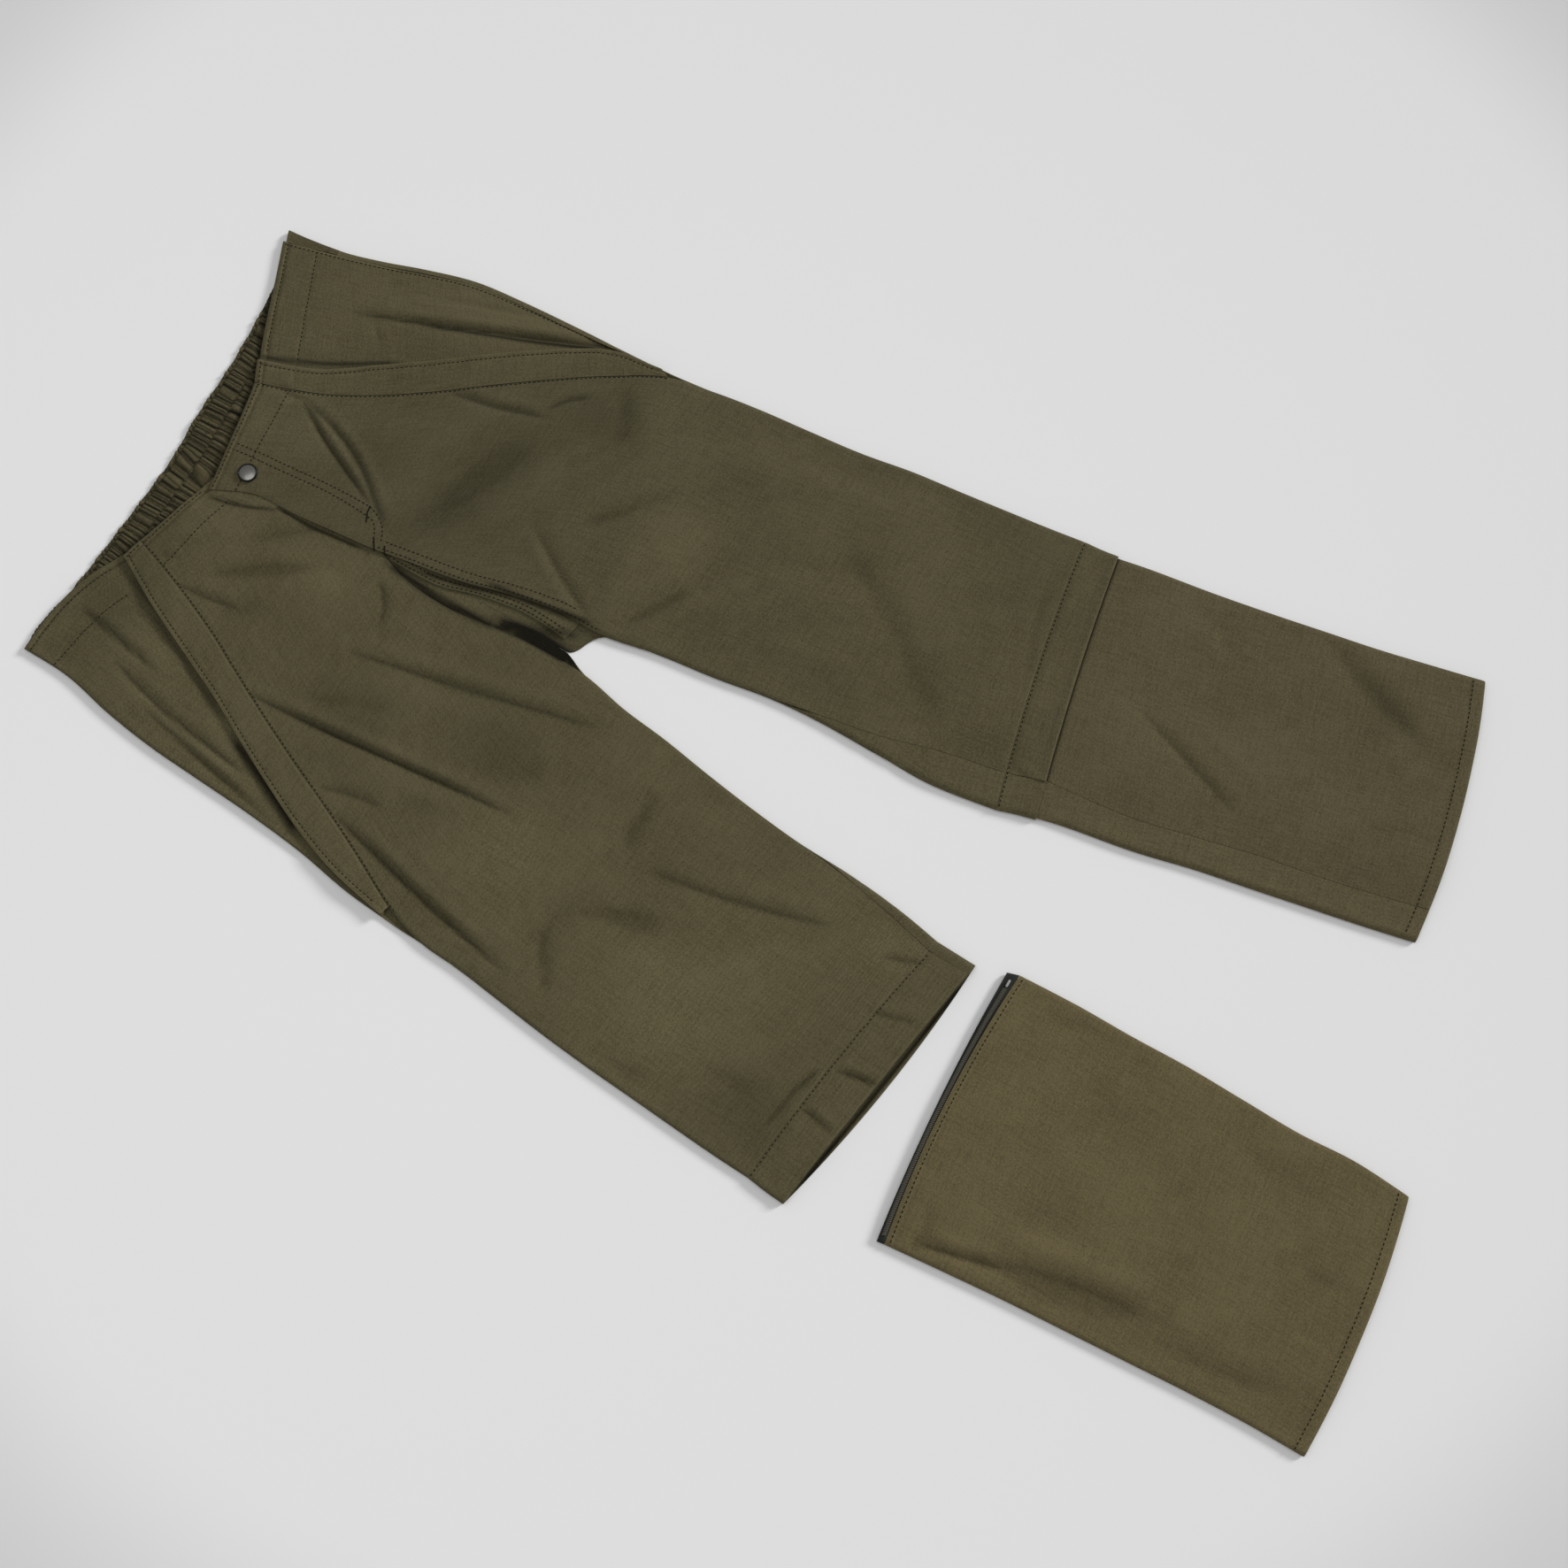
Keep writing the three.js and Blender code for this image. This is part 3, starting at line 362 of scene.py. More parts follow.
# Creases of the underside, which rise from the floor as shallow hollows.
lowerCreases = table(creaseColumns, [
    [20, 520, 60, 440, 90, 340, 9, 1.0, 0.3],
    [-20, 520, -60, 450, -96, 350, 9, 1.0, 0.3],
    [150, 500, 176, 420, 190, 330, 10, 0.9, 0.2],
    [-160, 500, -176, 410, -186, 320, 10, 0.9, 0.2],
    [28, 230, 76, 262, 140, 276, 8, 1.1, 0.3],
    [20, 205, 80, 190, 150, 196, 9, 1.0, 0.3],
    [-20, 230, -80, 262, -150, 270, 8, 1.1, 0.3],
    [-24, 190, -80, 168, -150, 172, 9, 1.0, 0.3],
    [120, 120, 136, 40, 150, -60, 12, 0.8, 0.2],
    [220, 140, 214, 60, 226, -40, 11, 0.8, 0.2],
    [-110, 120, -124, 30, -120, -70, 12, 0.8, 0.2],
    [-210, 120, -206, 30, -216, -60, 11, 0.8, 0.2],
    [150, -220, 170, -300, 186, -390, 12, 0.8, 0.2],
    [270, -220, 262, -300, 286, -390, 12, 0.7, 0.2],
    [-90, -290, -96, -380, -90, -470, 12, 0.8, 0.2],
    [-200, -290, -190, -380, -196, -470, 12, 0.7, 0.2],
])
# Long low waves in random directions, which keep the cloth from being even.
unevenWaves = {"count": 14, "shortest": 60.0, "longest": 200.0, "height": 0.21}
waveLength = seededNoise.uniform(unevenWaves["shortest"], unevenWaves["longest"], unevenWaves["count"])
waveTurn = seededNoise.uniform(0, math.pi, unevenWaves["count"])
waveStart = seededNoise.uniform(0, 2 * math.pi, unevenWaves["count"])

heldBetween = {"outSeam", "inSeam", "outDrop", "inDrop", "base", "top"}
plainSection = {"outSeam": 0, "outDrop": 1, "inSeam": 0, "inDrop": 1, "bow": 0, "base": 0,
                "top": cloth["legTop"]}


def smooth(t):
    # t^2 (3 - 2t), with t held between 0 and 1
    t = np.clip(t, 0, 1)
    return t**2 * (3 - 2 * t)


def mix(a, b, t):
    # a + (b - a) t
    return a + (b - a) * t


def bell(distance, width):
    # e to the power of -(distance / width)^2
    return np.exp(-((distance / width) ** 2))


def turned(distance):
    # height of a quarter circle: the root of 1 - (1 - distance / radius)^2
    return np.sqrt(1 - (1 - np.clip(distance / cloth["foldRadius"], 0, 1)) ** 2)


def curveAt(rows, v):
    # smooth curve through each column: b + ((c - a) t + (2a - 5b + 4c - d) t^2 + (3b - 3c + d - a) t^3) / 2;
    # the columns held between their neighbours don't swing past them
    last = len(next(iter(rows.values()))) - 1
    at = np.clip(v, 0, 1) * last
    i = np.minimum(np.floor(at).astype(int), last - 1)
    t = at - i
    found = {}
    for name, column in rows.items():
        a, b, c, d = (column[np.clip(i + k, 0, last)] for k in (-1, 0, 1, 2))
        curve = b + ((c - a) * t + (2 * a - 5 * b + 4 * c - d) * t**2 + (3 * b - 3 * c + d - a) * t**3) / 2
        found[name] = np.clip(curve, np.minimum(b, c), np.maximum(b, c)) if name in heldBetween else curve
    return found


def sectionsAt(rows, v):
    # a section for each v as columns of height 1, with the plain values for what the table leaves out
    v = np.atleast_1d(v)
    found = {name: np.full((len(v), 1), float(value)) for name, value in plainSection.items()}
    found.update({name: column[:, None] for name, column in curveAt(rows, v).items()})
    return found


def widthOf(s):
    # distance between a section's two points
    return np.hypot(s["inX"] - s["outX"], s["inY"] - s["outY"])


def placeOn(s, distance):
    # point on the section's line at that distance, lifted by its bow: 4 f (1 - f) bow, f = distance / width
    dx, dy = s["inX"] - s["outX"], s["inY"] - s["outY"]
    width = widthOf(s)
    f = distance / width
    bow = 4 * f * (1 - f) * s["bow"] * np.where(dx > 0, 1, -1) / width
    return s["outX"] + dx * f - dy * bow, s["outY"] + dy * f + dx * bow


def nearestOn(path, x, y):
    # distance to a path, the part of its length there, and which side the point lies on
    start, step = path[:-1], np.diff(path, axis=0)
    length = np.hypot(step[:, 0], step[:, 1])
    offX, offY = x[:, None] - start[:, 0], y[:, None] - start[:, 1]
    t = np.clip((offX * step[:, 0] + offY * step[:, 1]) / length**2, 0, 1)
    away = np.hypot(offX - t * step[:, 0], offY - t * step[:, 1])
    best = np.argmin(away, axis=1)
    pick = np.arange(len(x)), best
    side = np.sign(step[best, 0] * offY[pick] - step[best, 1] * offX[pick])
    reached = (np.concatenate([[0], np.cumsum(length)])[best] + t[pick] * length[best]) / length.sum()
    return away[pick], reached, side


def eachPath(rows):
    # each row with the smooth path through its three points
    for i in range(len(rows["width"])):
        row = {name: column[i] for name, column in rows.items()}
        points = {axis: np.array([row[axis + n] for n in "123"]) for axis in "xy"}
        curve = curveAt(points, np.linspace(0, 1, creaseShape["pathSteps"]))
        yield row, np.stack([curve["x"], curve["y"]], axis=1)


def reliefOf(creases, x, y):
    # sum of the creases: height (part of a wide bell + part of a narrow one - its ridge), fading at both ends
    total = np.zeros(x.shape)
    shares = (creaseShape["wide"], creaseShape["narrow"])
    for row, path in eachPath(creases):
        width, lean = row["width"], row["lean"]
        low, high = path.min(axis=0) - 4 * width, path.max(axis=0) + 4 * width
        near = (x > low[0]) & (x < high[0]) & (y > low[1]) & (y < high[1])
        if not near.any():
            continue
        away, reached, side = nearestOn(path, x[near], y[near])
        ridgeAway = side * np.sign(lean) * away - creaseShape["ridgeAt"] * width
        trough = sum(share * bell(away, wide * width) for share, wide in shares)
        trough = trough - abs(lean) * bell(ridgeAway, creaseShape["ridgeWidth"] * width)
        fade = smooth(np.minimum(reached, 1 - reached) / creaseShape["fadeOver"])
        total[near] += row["height"] * mix(creaseShape["endHeight"], 1, fade) * trough
    return total


def deepAt(hollows, x, y):
    # the darkest of the painted shadows there: depth (8 times the part from its end + 0.3, up to 1) bell
    # across
    deepest = np.zeros(x.shape)
    for row, path in eachPath(hollows):
        away, reached, side = nearestOn(path, x.ravel(), y.ravel())
        faded = np.clip(8 * np.minimum(reached, 1 - reached) + 0.3, 0, 1)
        deepest = np.maximum(deepest, (row["depth"] * faded * bell(away, row["width"])).reshape(x.shape))
    return deepest


def toneAt(x, y):
    # sum of the wide areas, each a bell round its middle
    areas = zip(*(toneAreas[name] for name in ("x", "y", "reach", "gain")))
    return sum(gain * bell(np.hypot(x - midX, y - midY), reach) for midX, midY, reach, gain in areas)


def unevenAt(x, y):
    # sum of long low waves, each with its own length, direction and start
    across = x[..., None] * np.cos(waveTurn) + y[..., None] * np.sin(waveTurn)
    return unevenWaves["height"] * np.sin(2 * math.pi * across / waveLength + waveStart).sum(axis=-1)


def upperRise(x, y):
    # creases and waves of the upper side
    return reliefOf(upperCreases, x, y) + unevenAt(x, y)


def above(s, rise):
    # a trough nears the depth at which it would meet the layer below: depth tanh(rise / depth)
    depth = np.maximum(s["top"] - s["base"] - 2 * cloth["layer"] - cloth["gap"], 0.2)
    return np.where(rise < 0, depth * np.tanh(rise / depth), rise)


def stripes(start, end, spacing, near):
    # distances across a panel: fixed ones near both edges and even ones between them
    width = float(np.mean(end - start))
    near = [d for d in near if d < width / 3]
    reach = near[-1]
    count = max(2, int(round((width - 2 * reach) / spacing)))
    even = np.linspace(0, 1, count + 1)[None, :]
    tight = np.minimum(1, (end - start) / (3 * reach))  # where the panel is narrow, they draw together
    left = start + tight * np.array(near[:-1])[None, :]
    right = end - tight * np.array(near[:-1])[::-1][None, :]
    return np.concatenate([left, mix(start + tight * reach, end - tight * reach, even), right], axis=1)


def rowsAlong(rows, start, end, spacing, near):
    # parts of the table's length, even in millimetres, with closer ones near both ends
    v = np.linspace(start, end, 400)
    s = sectionsAt(rows, v)
    x, y = placeOn(s, widthOf(s) / 2)
    walked = np.concatenate([[0], np.cumsum(np.hypot(np.diff(x[:, 0]), np.diff(y[:, 0])))])
    total = walked[-1]
    near = np.array([d for d in near if d < total / 3])
    even = np.linspace(near[-1], total - near[-1], max(2, int(total / spacing)))
    marks = np.concatenate([near[:-1], even, (total - near[:-1])[::-1]])
    return np.interp(marks, walked, v), marks[:, None], (total - marks)[:, None]


surfaces = {}
closeTo = [0, 0.5, 1.2, 2.2, 3.6]  # rows and columns near an edge, by their distance from it


def folding(way, radius, half, inset):
    # round a folded edge, by the way from its middle: out = radius (1 - cos), height = (half - inset) sin
    reach = np.abs(way)
    angle = np.minimum(reach / radius, 1) * math.pi / 2
    out = np.where(reach < radius, radius * (1 - np.cos(angle)), reach)
    return reach, out, np.sign(way) * (half - inset) * np.sin(angle)


def wayRound(length, steps):
    # from the seam on top, length inside the edge, round it to one radius inside it below, closest there
    radius = cloth["foldRadius"]
    return (length - cloth["gap"] / 2 + radius) * (1 - steps) ** 1.4 - radius


def gridOf(*parts):
    # arrays that broadcast to one grid, as the last axis of it
    return np.stack(np.broadcast_arrays(*parts), axis=-1)


def frontPanel(name, rows, start=0.0, end=1.0, calm=14.0, folds=1.0, crown=None, lift=None, drops=None,
               sections=None, spacing=None, top=closeTo, foot=closeTo, sides=closeTo, hem=None, still=None,
               hollows=forkHollows, shaded=None):
    # a panel on top: z = top - inset - half (1 - turned) near folded edges, plus creases, crown and lift.
    # folds is the part of the creases it takes, calm their distance from a folded edge, and still where
    # they rest; lift, hem and shaded are functions that raise it, thicken its edges and paint shade on it
    crown = cloth["crown"] if crown is None else crown
    spacing = spacing or cloth["spacing"]
    v, fromTop, fromFoot = rowsAlong(rows, start, end, spacing, sorted(set(top) | set(foot)))
    s = sections(v) if sections else sectionsAt(rows, v)
    if drops is not None:
        s["outDrop"], s["inDrop"] = s["outDrop"] * 0 + drops, s["inDrop"] * 0 + drops
    width = widthOf(s)
    first, last = s["outSeam"] + cloth["gap"] / 2, width - s["inSeam"] - cloth["gap"] / 2
    distance = stripes(first, last, spacing, sides)
    fromIn = width - distance
    x0, y0 = placeOn(s, distance)
    outTurn, inTurn = s["outDrop"] * (1 - turned(distance)), s["inDrop"] * (1 - turned(fromIn))
    quiet = 1 - s["outDrop"] * (1 - smooth(distance / calm))
    quiet = quiet * (1 - s["inDrop"] * (1 - smooth(fromIn / calm)))
    relief = upperRise(x0, y0)
    if still:
        quiet = quiet * still(x0, y0, fromIn)
    rise = folds * relief + crown * smooth(np.minimum(distance, fromIn) / cloth["crownWidth"])
    raised = lift(x0, y0, distance, fromIn, v[:, None]) if lift else 0.0
    roll = (1 - s["outDrop"]) * bell(distance - first, cloth["edgeWidth"])
    roll = roll + (1 - s["inDrop"]) * bell(last - distance, cloth["edgeWidth"])
    roll = roll + bell(fromTop, cloth["edgeWidth"]) + bell(fromFoot, cloth["edgeWidth"])
    bulge = hem(fromTop, fromFoot) if hem else 0.0
    faces = []
    for face in (0, 1):
        inset = face * cloth["layer"]
        half = (s["top"] - s["base"]) / 2 - inset
        shift = s["outDrop"] * inset * np.maximum(0, 1 - distance / cloth["foldRadius"])
        shift = shift - s["inDrop"] * inset * np.maximum(0, 1 - fromIn / cloth["foldRadius"])
        x, y = placeOn(s, distance + shift)
        z = s["top"] - inset - half * np.minimum(1, outTurn + inTurn)
        z = z + (above(s, rise * quiet + raised) + bulge * (1 - face)) * (1 - outTurn) * (1 - inTurn)
        z = z - (cloth["edgeRoll"] * np.minimum(roll, 1.3) if face == 0 else 0)
        faces.append(gridOf(x, y, z))
    # painted shade along the sharp troughs and at every trough's bottom
    bottom = creaseLook["shade"] * smooth((-relief - creaseLook["shadeFrom"]) / creaseLook["shadeOver"])
    creased = folds * quiet * np.maximum(deepAt(creaseLines, x0, y0), bottom)
    # all painted shade of the piece: fork, pocket mouths, troughs and the shaded lines
    deep = np.maximum(deepAt(hollows, x0, y0), creased)
    deep = np.maximum(deep, shaded(fromTop) + 0 * deep) if shaded else deep
    marks = {"ridge": np.clip(relief * quiet / creaseLook["wornHeight"], -1, 1), "edge": np.clip(roll, 0, 1),
             "deep": deep, "tone": toneAt(x0, y0)}
    return addShell(name, faces, gridOf(distance, fromTop), marks)


underside = {
    "spacing": 2.2,  # times the fronts' spacing
    "foldSteps": 10,
    "calm": 14.0,  # distance from a folded edge at which the top's creases are whole
    "hollowFrom": 6.0, "hollowOver": 14.0,  # the same for the underside's hollows
    "waves": 0.35,  # part of the waves in them
    "shade": 1.25,  # of the painted shade in the fork
}


def backPanel(name, rows, start=0.0, end=1.0, spacing=None):
    # a panel underneath, wrapped round the folded edges to its seams on top; creases and crown rise on
    # top, and hollows below, from the folded edges inwards
    spacing = spacing or cloth["spacing"] * underside["spacing"]
    radius = cloth["foldRadius"]
    v, fromTop, fromFoot = rowsAlong(rows, start, end, spacing, closeTo)
    s = sectionsAt(rows, v)
    width = widthOf(s)
    half = (s["top"] - s["base"]) / 2
    steps = np.linspace(0, 1, underside["foldSteps"])[None, :]
    middle = np.linspace(0, 1, max(3, int(float(width.mean()) / spacing)))[None, 1:-1]
    outWay, inWay = wayRound(s["outSeam"], steps), wayRound(s["inSeam"], steps)[:, ::-1]
    ways = (("out", outWay), ("out", -mix(radius, width - radius, middle)), ("in", inWay))
    faces = []
    for inset in (0, cloth["layer"]):
        columns = []
        for side, way in ways:
            drop = s[side + "Drop"]
            reach, out, height = folding(way, radius, half, inset)
            distance = mix(reach, out, drop) + drop * inset * np.maximum(0, 1 - out / radius)
            x, y = placeOn(s, distance if side == "out" else width - distance)
            calm = smooth(out / underside["calm"])
            swell = above(s, upperRise(x, y) * calm + cloth["crown"] * smooth(out / cloth["crownWidth"]))
            hollow = np.maximum(reliefOf(lowerCreases, x, y) + underside["waves"] * np.abs(unevenAt(x, y)), 0)
            hollow = hollow * smooth((out - underside["hollowFrom"]) / underside["hollowOver"])
            z = mix(s["base"] + inset, s["base"] + half + height, drop)
            columns.append(gridOf(x, y, z + (way > 0) * turned(out) * swell + (way <= 0) * hollow))
        faces.append(np.concatenate(columns, axis=1))
    x, y = faces[0][..., 0], faces[0][..., 1]
    walked = np.cumsum(np.abs(np.diff(x, axis=1, prepend=x[:, :1])), axis=1)
    roll = bell(fromTop, cloth["edgeWidth"]) + bell(fromFoot, cloth["edgeWidth"]) + 0 * walked
    # painted shade where the underside shows in the fork
    deep = np.minimum(1, underside["shade"] * deepAt(forkHollows, x, y))
    marks = {"ridge": 0 * walked, "edge": np.clip(roll, 0, 1), "deep": deep}
    return addShell(name, faces, gridOf(walked, fromTop), marks)


def toMetres(points):
    # (point - middle of the tables) / 1000
    return (points - np.array([*cloth["flatMiddle"], 0.0])) / 1000


sharpAngle = math.radians(55)  # between two faces, from which their edge stays sharp


def makeObject(name, vertices, faces, uv=None, marks=None):
    # vertices in millimetres; the faces are turned round if their volume is below zero
    corners = vertices[faces]
    volume = 0.0
    for a, b, c in ((0, 1, 2), (0, 2, 3)):
        volume += np.einsum("ij,ij->", corners[:, a], np.cross(corners[:, b], corners[:, c]))
    faces = faces[:, ::-1] if volume < 0 else faces
    mesh = bpy.data.meshes.new(name)
    mesh.vertices.add(len(vertices))
    mesh.vertices.foreach_set("co", toMetres(vertices).astype(np.float32).ravel())
    mesh.loops.add(faces.size)
    mesh.loops.foreach_set("vertex_index", faces.astype(np.int32).ravel())
    mesh.polygons.add(len(faces))
    mesh.polygons.foreach_set("loop_start", np.arange(0, faces.size, faces.shape[1], dtype=np.int32))
    mesh.update(calc_edges=True)
    if uv is not None:
        layer = mesh.uv_layers.new(name="clothMap")
        layer.uv.foreach_set("vector", (uv / 1000)[faces.ravel()].astype(np.float32).ravel())
    for key, values in (marks or {}).items():
        mesh.attributes.new(key, "FLOAT", "POINT").data.foreach_set("value", values.astype(np.float32))
    mesh.polygons.foreach_set("use_smooth", np.ones(len(faces), dtype=bool))
    mesh.set_sharp_from_angle(angle=sharpAngle)
    mesh.validate()
    made = bpy.data.objects.new(name, mesh)
    bpy.context.scene.collection.objects.link(made)
    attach(made, "root")
    return made


def addShell(name, grids, acrossUp, marks):
    # a closed shell between two grids of points: both faces, and a rim round the four sides
    outer, inner = grids
    surfaces[name] = outer
    rows, columns = outer.shape[:2]
    count = rows * columns
    index = np.arange(count).reshape(rows, columns)
    face = np.stack([index[:-1, :-1], index[1:, :-1], index[1:, 1:], index[:-1, 1:]], axis=-1).reshape(-1, 4)
    rim = np.concatenate([index[:, 0], index[-1, 1:], index[-2::-1, -1], index[0, -2:0:-1]])
    after = np.roll(rim, -1)
    edge = np.stack([after, rim, rim + count, after + count], axis=-1)
    faces = np.concatenate([face, face[:, ::-1] + count, edge])
    vertices = np.concatenate([outer.reshape(-1, 3), inner.reshape(-1, 3)])
    doubled = {key: np.tile(values.reshape(-1), 2) for key, values in marks.items()}
    return makeObject(name, vertices, faces, np.tile(acrossUp.reshape(-1, 2), (2, 1)), doubled)


def declare(made, nodes, material, flat):
    # gives a piece its material and hides the nodes it replaces; flat, a cloth's flat size in metres, is not
    # used
    made.data.materials.append(material)
    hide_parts(*nodes)


# Materials
def nodeGroup(name, inputs, outputs):
    # a node group with named sockets, and its two ends
    group = bpy.data.node_groups.new(name, "ShaderNodeTree")
    for label, kind in inputs:
        group.interface.new_socket(name=label, in_out="INPUT", socket_type=kind)
    for label, kind in outputs:
        group.interface.new_socket(name=label, in_out="OUTPUT", socket_type=kind)
    return group, group.nodes.new("NodeGroupInput"), group.nodes.new("NodeGroupOutput")


def feed(tree, socket, value):
    # links another node's output to a socket, or gives the socket a value of its own
    if isinstance(value, bpy.types.NodeSocket):
        tree.links.new(value, socket)
    elif value is not None:
        socket.default_value = value


def mathNode(tree, operation, a, b=None, clamp=False):
    # the operation's result for a and b
    node = tree.nodes.new("ShaderNodeMath")
    node.operation, node.use_clamp = operation, clamp
    feed(tree, node.inputs[0], a)
    feed(tree, node.inputs[1], b)
    return node.outputs[0]


def mixNode(tree, factor, a, b):
    # colour a (1 - factor) + b factor
    node = tree.nodes.new("ShaderNodeMix")
    node.data_type = "RGBA"
    for label, value in (("Factor", factor), ("A", a), ("B", b)):
        feed(tree, node.inputs[label], value)
    return node.outputs["Result"]


def noiseNode(tree, vector, scale, detail=2.0, stretch=(1, 1, 1)):
    # noise of that scale in cycles a metre, stretched along the map's axes
    mapping = tree.nodes.new("ShaderNodeMapping")
    mapping.inputs["Scale"].default_value = stretch
    tree.links.new(vector, mapping.inputs["Vector"])
    noise = tree.nodes.new("ShaderNodeTexNoise")
    noise.inputs["Scale"].default_value = scale
    noise.inputs["Detail"].default_value = detail
    tree.links.new(mapping.outputs[0], noise.inputs["Vector"])
    return noise.outputs["Fac"]


carried = ("Ridge", "Edge", "Deep", "Tone")  # marks that a piece's points carry: relief, cut edges, painted shade and tone
weaving = {
    "yarn": 640.0, "slub": 380.0, "slubStretch": 0.12, "patch": 22.0,  # cycles a metre
    "yarnPart": 0.6, "slubPart": 0.4,  # of the grain
    "rest": 0.3, "line": 0.10, "ridge": -0.18, "edge": -0.32,  # shade in all and on twill lines; wear on ridges and painted shade in troughs; wear and painted highlight on edges
    # how far the painted shade goes towards black, and that black
    "deepest": 0.92, "black": (0.002, 0.0018, 0.001, 1),
    "rough": 0.82, "roughGrain": 0.14,
    "lineHeight": 0.45, "grainHeight": 0.9,
    "specular": 0.05,
}


def twillGroup():
    # shade = rest + speckle (grain - 1/2) + mottling (patches - 1/2) + line (1 + sin) / 2 + ridge + edge,
    # where the ridge mark lightens ridges as wear and darkens troughs as painted shade, and the edge mark
    # lightens cut edges as wear and painted highlight; colour = cloth mixed with its shade, (1 + tone) times
    # for wear and painted light and shade, and with black where painted shade is marked;
    # height = twill lines and grain; roughness = a value + grain
    group, given, result = nodeGroup(
        "twillWeave",
        [("Map", "NodeSocketVector"), ("Cloth", "NodeSocketColor"), ("Shade", "NodeSocketColor"),
         *[(label, "NodeSocketFloat") for label in ("Twill lines a metre", "Speckle", "Mottling", *carried)]],
        [("Colour", "NodeSocketColor"), ("Roughness", "NodeSocketFloat"), ("Height", "NodeSocketFloat")],
    )
    asked = given.outputs
    place = asked["Map"]

    def plus(a, b, clamp=False):
        return mathNode(group, "ADD", a, b, clamp)

    def times(a, b, clamp=False):
        return mathNode(group, "MULTIPLY", a, b, clamp)

    split = group.nodes.new("ShaderNodeSeparateXYZ")
    group.links.new(place, split.inputs[0])
    turns = times(times(plus(split.outputs[0], split.outputs[1]), asked["Twill lines a metre"]), 6.283)
    lines = times(plus(mathNode(group, "SINE", turns), 1.0), 0.5)
    narrow = weaving["slubStretch"]
    slub = noiseNode(group, place, weaving["slub"], 2.0, (1.0, narrow, 1.0))
    weft = noiseNode(group, place, weaving["slub"], 2.0, (narrow, 1.0, 1.0))
    threads = plus(times(slub, 0.5), times(weft, 0.5))
    yarn = noiseNode(group, place, weaving["yarn"], 3.0)
    grain = plus(times(yarn, weaving["yarnPart"]), times(threads, weaving["slubPart"]))
    speckle = times(plus(grain, -0.5), asked["Speckle"])
    patches = times(plus(noiseNode(group, place, weaving["patch"], 4.0), -0.5), asked["Mottling"])
    # lighter ridges as wear, darker troughs as painted shade, lighter cut edges as wear and painted highlight
    worn = plus(times(asked["Ridge"], weaving["ridge"]), times(asked["Edge"], weaving["edge"]))
    amount = plus(plus(speckle, patches), plus(worn, times(lines, weaving["line"])))
    blend = mixNode(group, plus(amount, weaving["rest"], clamp=True), asked["Cloth"], asked["Shade"])
    toned = group.nodes.new("ShaderNodeVectorMath")
    toned.operation = "SCALE"
    group.links.new(blend, toned.inputs[0])
    group.links.new(plus(asked["Tone"], 1.0), toned.inputs["Scale"])
    dark = times(asked["Deep"], weaving["deepest"], clamp=True)
    feed(group, result.inputs["Colour"], mixNode(group, dark, toned.outputs[0], weaving["black"]))
    feed(group, result.inputs["Roughness"], plus(times(grain, weaving["roughGrain"]), weaving["rough"]))
    height = plus(times(lines, weaving["lineHeight"]), times(grain, weaving["grainHeight"]))
    feed(group, result.inputs["Height"], height)
    return group


twillWeave = twillGroup()


def material(name, roughness=0.9, metallic=0.0, sheen=0.0, specular=0.5):
    # a new material with constant values on its shader's own sockets
    made = bpy.data.materials.new(name)
    made.use_nodes = True
    shader = made.node_tree.nodes["Principled BSDF"]
    values = {"Specular IOR Level": specular, "Roughness": roughness, "Metallic": metallic,
              "Sheen Weight": sheen, "Sheen Roughness": 0.6}
    for label, value in values.items():
        shader.inputs[label].default_value = value
    return made, made.node_tree, shader


def bumpOn(tree, shader, height, depth):
    # depth is the height in metres that a pattern's 0 to 1 stands for
    bump = tree.nodes.new("ShaderNodeBump")
    bump.inputs["Distance"].default_value = depth
    bump.inputs["Strength"].default_value = 1.0
    tree.links.new(height, bump.inputs["Height"])
    tree.links.new(bump.outputs["Normal"], shader.inputs["Normal"])


def clothMaterial(name, look):
    # the weave on the piece's own map, with the marks that its points carry
    made, tree, shader = material(name, sheen=look["sheen"], specular=weaving["specular"])
    weave = tree.nodes.new("ShaderNodeGroup")
    weave.node_tree = twillWeave
    source = tree.nodes.new("ShaderNodeUVMap")
    source.uv_map = "clothMap"
    feed(tree, weave.inputs["Map"], source.outputs["UV"])
    for label in carried:
        reader = tree.nodes.new("ShaderNodeAttribute")
        reader.attribute_name = label.lower()
        feed(tree, weave.inputs[label], reader.outputs["Fac"])
    values = {"Cloth": (*look["colour"], 1), "Shade": (*look["shade"], 1),
              "Twill lines a metre": look["lines"], "Speckle": look["speckle"], "Mottling": look["mottling"]}
    for label, value in values.items():
        feed(tree, weave.inputs[label], value)
    feed(tree, shader.inputs["Base Color"], weave.outputs["Colour"])
    feed(tree, shader.inputs["Roughness"], weave.outputs["Roughness"])
    bumpOn(tree, shader, weave.outputs["Height"], look["depth"])
    return made


